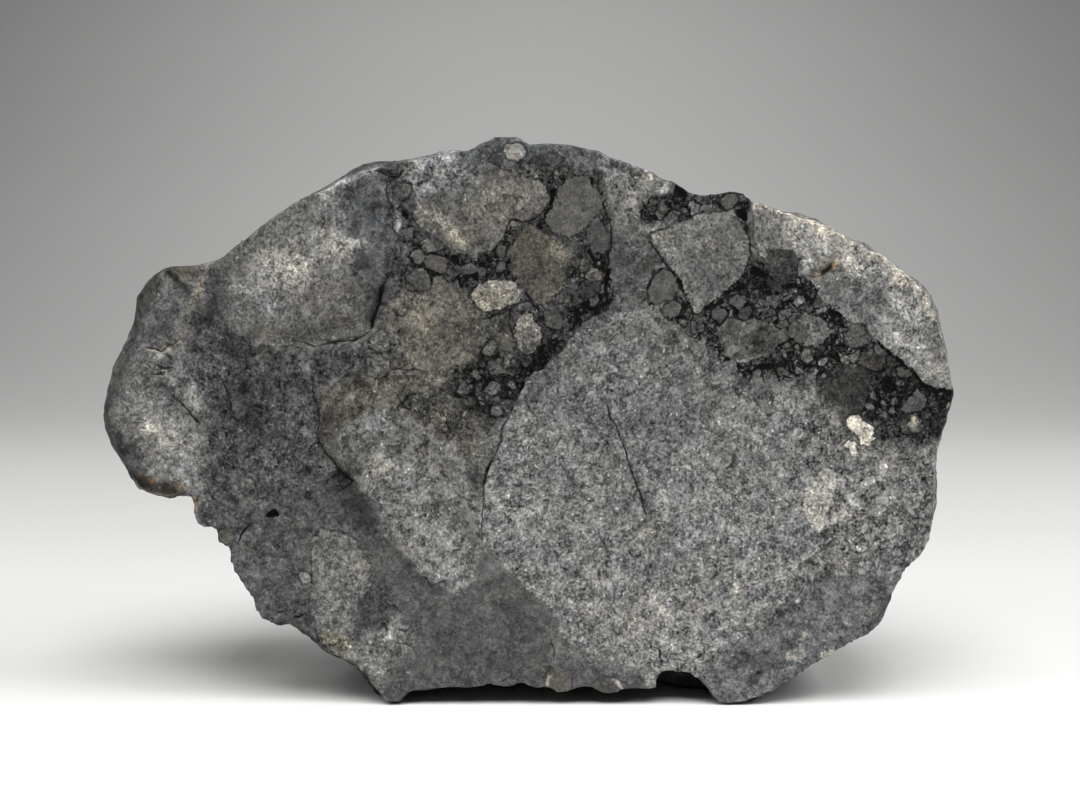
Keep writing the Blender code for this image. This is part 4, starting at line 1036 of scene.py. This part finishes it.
class Field:
    """A socket's value. Arithmetic on it adds Math nodes to its tree."""

    def __init__(self, socket):
        self.socket = socket

    def math(self, operation, *values):
        """A Math node of that operation on these values."""
        return add_node(
            self.socket.id_data,
            "ShaderNodeMath",
            {"operation": operation},
            dict(enumerate(values)),
        )

    def __add__(self, other):
        return self.math("ADD", self, other)

    def __radd__(self, other):
        return self.math("ADD", other, self)

    def __sub__(self, other):
        return self.math("SUBTRACT", self, other)

    def __rsub__(self, other):
        return self.math("SUBTRACT", other, self)

    def __mul__(self, other):
        return self.math("MULTIPLY", self, other)

    def __rmul__(self, other):
        return self.math("MULTIPLY", other, self)

    def __truediv__(self, other):
        return self.math("DIVIDE", self, other)

    def __rtruediv__(self, other):
        return self.math("DIVIDE", other, self)

    def __pow__(self, other):
        return self.math("POWER", self, other)

    def __abs__(self):
        return self.math("ABSOLUTE", self)

    def rise(self, low, high):
        """0 below low and 1 above high, with a smooth rise between."""
        return add_node(
            self.socket.id_data,
            "ShaderNodeMapRange",
            {"interpolation_type": "SMOOTHSTEP"},
            {"Value": self, "From Min": low, "From Max": high},
        )


def add_node(tree, kind, settings=None, sockets=None, output=0):
    """Adds a node, sets it up, fills or links its sockets and returns one output."""
    node = tree.nodes.new(kind)
    for name, value in (settings or {}).items():
        if name == "stops":
            while len(node.color_ramp.elements) < len(value):
                node.color_ramp.elements.new(1.0)
            for stop, (position, colour) in zip(node.color_ramp.elements, value):
                stop.position = position
                stop.color = colour
        else:
            setattr(node, name, value)
    for name, value in (sockets or {}).items():
        if isinstance(value, Field):
            tree.links.new(value.socket, node.inputs[name])
        else:
            node.inputs[name].default_value = value
    return Field(node.outputs[output]) if node.outputs else None


class Finish:
    """A new material and the patterns that stone finishes share."""

    def __init__(self, name):
        self.material = bpy.data.materials.new(name)
        self.material.use_nodes = True
        self.tree = self.material.node_tree
        self.tree.nodes.clear()

    def add(self, kind, settings=None, sockets=None, output=0):
        """A node of this material."""
        return add_node(self.tree, kind, settings, sockets, output)

    def parts(self, vector):
        """The three numbers of a vector or colour."""
        split = self.add("ShaderNodeSeparateXYZ", {}, {0: vector})
        outputs = split.socket.node.outputs
        return Field(outputs[0]), Field(outputs[1]), Field(outputs[2])

    def stored(self, name):
        """The three numbers that the mesh stores under a name."""
        return self.parts(
            self.add("ShaderNodeAttribute", {"attribute_name": name}, {}, "Vector")
        )

    def vector(self, operation, *values):
        """A Vector Math node of that operation on these values."""
        return self.add(
            "ShaderNodeVectorMath", {"operation": operation}, dict(enumerate(values))
        )

    def times(self, vector, number):
        """A vector or colour scaled by a number."""
        settings = {"operation": "SCALE"}
        return self.add("ShaderNodeVectorMath", settings, {0: vector, "Scale": number})

    def noise(self, place, scale, detail, output="Factor"):
        """Cloudy noise; a number comes back centred, from about -1 to 1."""
        made = self.add(
            "ShaderNodeTexNoise",
            {},
            {"Vector": place, "Scale": scale, "Detail": detail},
            0 if output == "Factor" else 1,
        )
        return made * 2.0 - 1.0 if output == "Factor" else made

    def cells(self, place, scale, feature="F1"):
        """Random cells: their random colour, or the distance to their edges."""
        return self.add(
            "ShaderNodeTexVoronoi",
            {"feature": feature},
            {"Vector": place, "Scale": scale},
            "Distance" if feature == "DISTANCE_TO_EDGE" else "Color",
        )

    def turned(self, place, turn, lengths):
        """The place turned in the sawn face, in units of a crystal's lengths."""
        return self.add(
            "ShaderNodeMapping",
            {"vector_type": "TEXTURE"},
            {"Vector": place, "Rotation": (0, math.radians(turn), 0), "Scale": lengths},
        )

    def mix(self, share, first, second):
        """Numbers mixed by a share."""
        sockets = {"Factor": share, 2: first, 3: second}
        return self.add("ShaderNodeMix", {"data_type": "FLOAT"}, sockets)

    def blend(self, share, first, second):
        """Colours mixed by a share."""
        sockets = {0: share, 6: first, 7: second}
        return self.add("ShaderNodeMix", {"data_type": "RGBA"}, sockets, 2)

    def surface(self, sockets, constants):
        """The material: sockets that change over the surface, and constant ones."""
        shader = self.add("ShaderNodeBsdfPrincipled", {}, {**sockets, **constants})
        self.add("ShaderNodeOutputMaterial", {}, {"Surface": shader})
        return self.material


# The paper, in metres: how far its painted tones reach, and its brightest place across.
# The tones are painted shade, darker up the backdrop, and go by the distance along it in
# mm, from under the stone.
PAPER_LENGTH = 0.43
PAPER_MIDDLE = -0.008
PAPER_WARMTH = 0.987
PAPER_ROUGHNESS = 0.9
PAPER_SHADED_TONES = (
    (0, 0.69), (9, 0.68), (20, 0.63), (34, 0.60), (52, 0.556), (78, 0.52), (113, 0.475),
    (156, 0.418), (190, 0.405), (220, 0.40), (300, 0.388), (353, 0.365), (377, 0.355),
    (400, 0.345), (425, 0.325),
)

DISPLAY_CURVE = 2.2
COOL_TINT = (0.92, 0.99, 1.10, 1.0)
WARM_TINT = (1.11, 1.02, 0.84, 1.0)
RUST_TINT = (1.45, 0.84, 0.42)
CRUST_COLOUR = (0.035, 0.030, 0.026, 1.0)
SOIL_COLOUR = (0.26, 0.20, 0.13, 1.0)
MELT_TONE = 0.06
CRACK_TONE = 0.05
DARKEST_TONE = 0.03
SHININESS = 0.08

# which way crystals lean, in degrees, and their lengths in mm
LATHS = (34, (0.16, 0.2, 0.25))
OTHER_LATHS = (-48, (0.18, 0.22, 0.3))
# how many stones and crumbs of the ground go to a mm, and how strongly crystals show
STONES = 1.15
CRUMBS = 2.8
BROKEN_CONTRAST = 0.075
LEAST_CONTRAST = 0.012
BUMP_HEIGHT = 0.03 * MM


def breccia_finish(settings):
    """Clasts of crystals in dark melt on the sawn faces, a crust on the rim, and painted
    shade on the rim near the floor.
    """
    stone = Finish("eucrite_breccia")
    place = stone.add("ShaderNodeTexCoord", {}, {}, "Object")
    mm = stone.times(place, 1.0 / MM)
    cloud_colours = stone.noise(mm, scale=1.7, detail=2.0, output="Color")
    shake = stone.vector("SUBTRACT", cloud_colours, (0.5, 0.5, 0.5))
    shaken = stone.vector("ADD", mm, stone.times(shake, 0.7))

    # crystals: laths leaning two ways, finer dust and clouds of both
    laths = stone.cells(stone.turned(shaken, *LATHS), 1.0)
    lath_tone, lath_warmth, _ = stone.parts(laths)
    other_laths = stone.cells(stone.turned(shaken, *OTHER_LATHS), 1.0)
    other_tone, _, _ = stone.parts(other_laths)
    crystals = lath_tone * 1.1 + other_tone * 0.9 - 1.0
    dust = stone.noise(mm, scale=6.0, detail=4.0)
    clouds = stone.noise(mm, scale=1.5, detail=4.0)
    mottle = stone.noise(mm, scale=0.5, detail=3.0)
    grain = crystals * 1.45 + dust * 2.3 + clouds * 2.2

    # the ground between the clasts, from fine matrix to rubble in black melt
    ground_tone, warmth, ground_grain = stone.stored("ground_look")
    block_edge, block_outlined, rubble = stone.stored("block_edge")
    chip_edge, chip_outlined, rim = stone.stored("chip_edge")
    vein = clouds * 0.8 + 0.5
    stone_tone, stone_kind, _ = stone.parts(stone.cells(shaken, STONES))
    stone_gap = stone.cells(shaken, STONES, "DISTANCE_TO_EDGE")
    crumb = stone.cells(shaken, CRUMBS)
    crumb_tone, crumb_other, crumb_kind = stone.parts(crumb)
    crumb_middle = Field(crumb.socket.node.outputs["Distance"])
    crumb_gap = stone.cells(shaken, CRUMBS, "DISTANCE_TO_EDGE")
    crushed = stone_kind.rise(0.42, 0.48)
    thick = vein * abs(vein) * (rubble * 1.7 - 0.3)
    stone_line = 1.0 - (stone_gap - thick * 0.13).rise(-0.02, 0.04)
    crumb_line = 1.0 - (crumb_gap - thick * 0.17).rise(-0.02, 0.09)
    lines = stone_line.math("MAXIMUM", stone_line, crushed * crumb_line)
    speckle = stone.mix(crushed, stone_tone * 0.24 - 0.11, crumb_tone * 0.30 - 0.15)
    rubble_tone = stone.mix(lines, ground_tone + speckle, MELT_TONE)
    plain_tone = ground_tone + ground_grain * 20.0 * (
        (stone_tone - 0.5) * 0.06 + (crumb_tone - 0.5) * 0.05 - lines * vein * 0.05
    )
    broken = (rubble + clouds * 0.35).rise(0.25, 0.65)
    tone = stone.mix(broken, plain_tone, rubble_tone)
    contrast = stone.mix(broken, ground_grain, BROKEN_CONTRAST)

    # blocks, then chips, each with a ragged edge and a broken dark melt line
    raggedness = stone.noise(mm, scale=2.6, detail=3.0) * 0.32
    for edge, outlined, name, share in (
        (block_edge, block_outlined, "block_look", 1.0),
        (chip_edge, chip_outlined, "chip_look", 0.6),
    ):
        own_tone, own_warmth, own_grain = stone.stored(name)
        ragged_edge = edge + raggedness * share
        inside = ragged_edge.rise(-0.04, 0.04)
        tone = stone.mix(inside, tone, own_tone)
        warmth = stone.mix(inside, warmth, own_warmth)
        contrast = stone.mix(inside, contrast, own_grain)
        line = 1.0 - (abs(ragged_edge + 0.05) - vein * 0.06).rise(0.0, 0.09)
        tone = stone.mix(line * outlined * (vein * 1.5), tone, MELT_TONE)

    added_tone, added_warmth, rust = stone.stored("added")
    tone = tone + added_tone * (1.0 + grain * 0.35)
    warmth = warmth + added_warmth + mottle * 0.5 + clouds * 0.25
    warmth = warmth + lath_warmth * 0.4 - 0.2
    tone = tone + grain * (contrast + LEAST_CONTRAST) + mottle * 0.04

    # single bright crystals and black grains
    bright = crumb_other.rise(0.74, 0.8) * 0.19
    black = crumb_kind.rise(0.8, 0.86) * 0.12
    single = 1.0 - crumb_middle.rise(0.1, 0.26)
    tone = tone + single * (bright - black) * contrast * 14.0

    # cracks
    side, distance, half_width = stone.stored("crack")
    gap = abs(side + raggedness * 0.35)
    fade = 1.0 - (distance - half_width).rise(0.10, 0.28)
    thin = half_width * (vein * 0.9 + 0.1)
    crack = (1.0 - (gap - thin).rise(-0.03, 0.05)) * fade
    tone = stone.mix(crack * (0.35 + vein * 0.6), tone, CRACK_TONE)

    # colour: brightness times a tint, then rust, then the rim's crust and soil, and
    # painted shade on the rim near the floor
    brightness = tone.math("MAXIMUM", tone, DARKEST_TONE) ** DISPLAY_CURVE
    tint = stone.blend((warmth + 1.0) * 0.5, COOL_TINT, WARM_TINT)
    colour = stone.times(tint, brightness * settings.brightness)
    rusty = (rust + dust * 1.2 + clouds * 0.5 - 0.3).rise(0.0, 0.6)
    stained = stone.vector("MULTIPLY", colour, RUST_TINT)
    colour = stone.blend(rusty * rust.rise(0.0, 0.1) * 0.9, colour, stained)
    crust_noise = stone.noise(mm, scale=0.35, detail=4.0)
    crust = (crust_noise + clouds * 0.4 + 0.05).rise(0.0, 0.3)
    crust_soil_and_floor_shade = stone.blend(crust * 0.7, stone.times(colour, 0.85), CRUST_COLOUR)
    soil = (stone.noise(mm, scale=0.6, detail=4.0) + dust * 0.4).rise(0.1, 0.42)
    crust_soil_and_floor_shade = stone.blend(soil * 0.5, crust_soil_and_floor_shade, SOIL_COLOUR)
    # painted shade: the rim darkens below 5.5 mm and keeps about an eighth of its colour
    # below 3 mm, for the shade under the stone
    _, _, up = stone.parts(mm)
    crust_soil_and_floor_shade = stone.times(crust_soil_and_floor_shade, 0.12 + 0.88 * up.rise(3.0, 5.5))
    colour = stone.blend(rim * 0.9, colour, crust_soil_and_floor_shade)

    relief = stone.noise(mm, scale=7.0, detail=4.0) + lath_tone * 0.4
    bump = stone.add(
        "ShaderNodeBump",
        {},
        {"Strength": 0.4, "Distance": BUMP_HEIGHT, "Height": relief},
    )
    roughness = 0.62 + dust * 0.15 + rim * 0.12
    return stone.surface(
        {"Base Color": colour, "Roughness": roughness, "Normal": bump},
        {"Specular IOR Level": SHININESS},
    )


def shaded_paper_finish(settings):
    """Matt pale paper, with painted shade: darker up the backdrop and towards its sides.
    """
    paper = Finish("backdrop_paper")
    across, back, up = paper.parts(paper.add("ShaderNodeTexCoord", {}, {}, "Object"))
    along = (back + up) / PAPER_LENGTH
    stops = [
        (distance / PAPER_LENGTH * MM, (tone, tone, tone * PAPER_WARMTH, 1.0))
        for distance, tone in PAPER_SHADED_TONES
    ]
    colour = paper.add("ShaderNodeValToRGB", {"stops": stops}, {"Fac": along})
    off_middle = (across - PAPER_MIDDLE) / settings.paper_half_width
    # painted shade: the backdrop darkens towards its sides
    sides = 1.0 + along.rise(0.12, 0.5) * off_middle * off_middle
    colour = paper.times(colour, settings.paper_brightness / sides)
    return paper.surface({"Base Color": colour}, {"Roughness": PAPER_ROUGHNESS})


# Sizes and colours that a user would change


class SliceSettings(bpy.types.PropertyGroup):
    """Sizes and finish of the stone slice."""

    mesh_size: bpy.props.FloatProperty(
        name="Mesh size",
        description="Edge length of the even mesh that the stone is sculpted on",
        default=0.00032,
        precision=5,
        unit="LENGTH",
    )
    roughness_of_rim: bpy.props.FloatProperty(
        name="Rim roughness",
        description="How far the natural rim is bumped and pitted",
        default=1.0,
        min=0.0,
        max=2.0,
        subtype="FACTOR",
    )
    crisp_angle: bpy.props.FloatProperty(
        name="Crisp angle",
        description="Edges steeper than this many degrees are shaded sharp",
        default=32.0,
    )
    brightness: bpy.props.FloatProperty(
        name="Stone brightness",
        description="Scales how much light the stone gives back",
        default=0.76,
        min=0.1,
        max=4.0,
    )


class StageSettings(bpy.types.PropertyGroup):
    """The studio: paper, lights and camera."""

    paper_brightness: bpy.props.FloatProperty(
        name="Paper brightness",
        description="Scales how much light the paper gives back",
        default=1.0,
        min=0.1,
        max=1.4,
    )
    paper_half_width: bpy.props.FloatProperty(
        name="Paper fade width",
        description="How far to the side the backdrop has lost half its brightness",
        default=0.187,
        unit="LENGTH",
    )
    key_power: bpy.props.FloatProperty(
        name="Overhead light",
        description="Power of the large soft light over the stone",
        default=3.3,
        unit="POWER",
    )
    side_power: bpy.props.FloatProperty(
        name="Side lights",
        description="Power of the soft light on the right, more than that on the left",
        default=0.9,
        unit="POWER",
    )
    lens: bpy.props.FloatProperty(
        name="Lens",
        description="Focal length of the camera in millimetres",
        default=43.33,
        subtype="DISTANCE_CAMERA",
    )


# One operator for the slice and one for the stage


MERGE_DISTANCE = 0.001 * MM
FACE_ZONE = 0.1 * MM
FACING_FRONT = -0.9


class METEORITE_OT_slice(bpy.types.Operator):
    """Model the sawn slice, with its melt veins, cracks and weathered rim"""

    bl_idname = "meteorite.slice"
    bl_label = "Sawn slice"

    def execute(self, context):
        """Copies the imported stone, evens its mesh, sculpts it and finishes it."""
        settings = context.scene.meteorite_slice_settings
        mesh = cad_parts[CAD_NODE].data.copy()
        mesh.name = PIECE
        stone = bpy.data.objects.new(PIECE, mesh)
        context.scene.collection.objects.link(stone)
        pick(stone)
        bpy.ops.object.mode_set(mode="EDIT")
        bpy.ops.mesh.select_all(action="SELECT")
        bpy.ops.mesh.remove_doubles(threshold=MERGE_DISTANCE)
        bpy.ops.object.mode_set(mode="OBJECT")
        even = stone.modifiers.new("even mesh", "REMESH")
        even.mode = "VOXEL"
        even.voxel_size = settings.mesh_size
        bpy.ops.object.modifier_apply(modifier=even.name)

        # the front sawn face gets twice as fine a mesh as the rest
        reach = CAD_BOX[0].y + FACE_ZONE
        for face in stone.data.polygons:
            face.select = face.normal.y < FACING_FRONT and face.center.y < reach
        bpy.ops.object.mode_set(mode="EDIT")
        bpy.ops.mesh.select_mode(type="FACE")
        bpy.ops.mesh.subdivide(number_cuts=1)
        bpy.ops.object.mode_set(mode="OBJECT")

        sculpt(stone.data, settings)
        bpy.ops.object.shade_smooth_by_angle(angle=math.radians(settings.crisp_angle))
        stone.data.materials.clear()
        stone.data.materials.append(breccia_finish(settings))
        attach(stone, BODY)
        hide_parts(CAD_NODE)
        return {"FINISHED"}


# The studio, in metres: the paper's half width, near end, bend and top, the lights with
# their places, aims and sizes, and the camera with its pitch in degrees.
PAPER_HALF_WIDTH = 0.9
PAPER_NEAR = -0.6
PAPER_BEND = 0.13
BEND_RADIUS = 0.22
BEND_STEPS = 24
PAPER_TOP = 1.0
OVERHEAD_LIGHT = ((0.0, -0.20, 0.50), (0, 0, 0.01), (0.42, 0.30))
SIDE_LIGHT_AIM = (0, 0, 0.015)
SIDE_LIGHT_SIZE = (0.16, 0.16)
SIDE_LIGHTS = (((0.30, -0.07, 0.28), 1.1), ((-0.30, -0.11, 0.28), 0.48))
WORLD_COLOUR = (1.0, 1.0, 1.0, 1.0)
WORLD_STRENGTH = 0.05
CAMERA_PLACE = (0.0008, -0.0871, 0.0291)
CAMERA_PITCH = 83.5
SENSOR_WIDTH = 36.0
NEAREST_SEEN = 0.001


def add_light(name, place, aim, size, power):
    """Adds a soft light at a place, turned to what it lights."""
    data = bpy.data.lights.new(name, "AREA")
    data.shape = "RECTANGLE"
    data.size, data.size_y = size
    data.energy = power
    light = bpy.data.objects.new(name, data)
    bpy.context.scene.collection.objects.link(light)
    light.location = place
    along = Vector(aim) - Vector(place)
    light.rotation_euler = along.to_track_quat("-Z", "Y").to_euler()


class METEORITE_OT_stage(bpy.types.Operator):
    """Set up the paper sweep, the soft lights and the camera"""

    bl_idname = "meteorite.stage"
    bl_label = "Stage"

    def execute(self, context):
        """Models the paper, and adds lights, world and camera."""
        settings = context.scene.meteorite_stage_settings
        profile = [(PAPER_NEAR, 0.0), (PAPER_BEND, 0.0)]
        for step in range(1, BEND_STEPS + 1):
            angle = math.radians(90 * step / BEND_STEPS)
            back = PAPER_BEND + BEND_RADIUS * math.sin(angle)
            profile.append((back, BEND_RADIUS * (1 - math.cos(angle))))
        profile.append((PAPER_BEND + BEND_RADIUS, PAPER_TOP))
        sides = (-PAPER_HALF_WIDTH, PAPER_HALF_WIDTH)
        vertices = [(side, y, z) for y, z in profile for side in sides]
        faces = [
            (2 * row, 2 * row + 1, 2 * row + 3, 2 * row + 2)
            for row in range(len(profile) - 1)
        ]
        mesh = bpy.data.meshes.new("paper_sweep")
        mesh.from_pydata(vertices, [], faces)
        mesh.materials.append(shaded_paper_finish(settings))
        sweep = bpy.data.objects.new("paper_sweep", mesh)
        context.scene.collection.objects.link(sweep)
        pick(sweep)
        bpy.ops.object.shade_smooth()

        add_light("overhead", *OVERHEAD_LIGHT, settings.key_power)
        for place, share in SIDE_LIGHTS:
            power = settings.side_power * share
            add_light("side light", place, SIDE_LIGHT_AIM, SIDE_LIGHT_SIZE, power)

        world = bpy.data.worlds.new("studio")
        world.use_nodes = True
        background = world.node_tree.nodes["Background"]
        background.inputs["Color"].default_value = WORLD_COLOUR
        background.inputs["Strength"].default_value = WORLD_STRENGTH
        context.scene.world = world
        context.scene.view_settings.view_transform = "Standard"

        data = bpy.data.cameras.new("camera")
        data.lens = settings.lens
        data.sensor_width = SENSOR_WIDTH
        data.clip_start = NEAREST_SEEN
        camera = bpy.data.objects.new("camera", data)
        context.scene.collection.objects.link(camera)
        camera.location = CAMERA_PLACE
        camera.rotation_euler = (math.radians(CAMERA_PITCH), 0, 0)
        context.scene.camera = camera
        return {"FINISHED"}


class METEORITE_PT_panel(bpy.types.Panel):
    """Lists the steps that make the slice and its stage"""

    bl_label = "Meteorite slice"
    bl_idname = "METEORITE_PT_panel"
    bl_space_type = "VIEW_3D"
    bl_region_type = "UI"
    bl_category = "Meteorite"

    def draw(self, context):
        """Shows each step above its settings."""
        for operator, settings in (
            (METEORITE_OT_slice, context.scene.meteorite_slice_settings),
            (METEORITE_OT_stage, context.scene.meteorite_stage_settings),
        ):
            box = self.layout.box()
            box.operator(operator.bl_idname)
            for name in settings.__annotations__:
                box.prop(settings, name)


CLASSES = (
    SliceSettings,
    StageSettings,
    METEORITE_OT_slice,
    METEORITE_OT_stage,
    METEORITE_PT_panel,
)


def register():
    """Adds the classes and their settings to Blender."""
    for each in CLASSES:
        bpy.utils.register_class(each)
    scene = bpy.types.Scene
    scene.meteorite_slice_settings = bpy.props.PointerProperty(type=SliceSettings)
    scene.meteorite_stage_settings = bpy.props.PointerProperty(type=StageSettings)


def unregister():
    """Takes them away again."""
    del bpy.types.Scene.meteorite_stage_settings
    del bpy.types.Scene.meteorite_slice_settings
    for each in reversed(CLASSES):
        bpy.utils.unregister_class(each)


def main():
    """Makes the slice and the stage."""
    register()
    bpy.ops.meteorite.slice()
    bpy.ops.meteorite.stage()


if __name__ == "__main__":
    main()
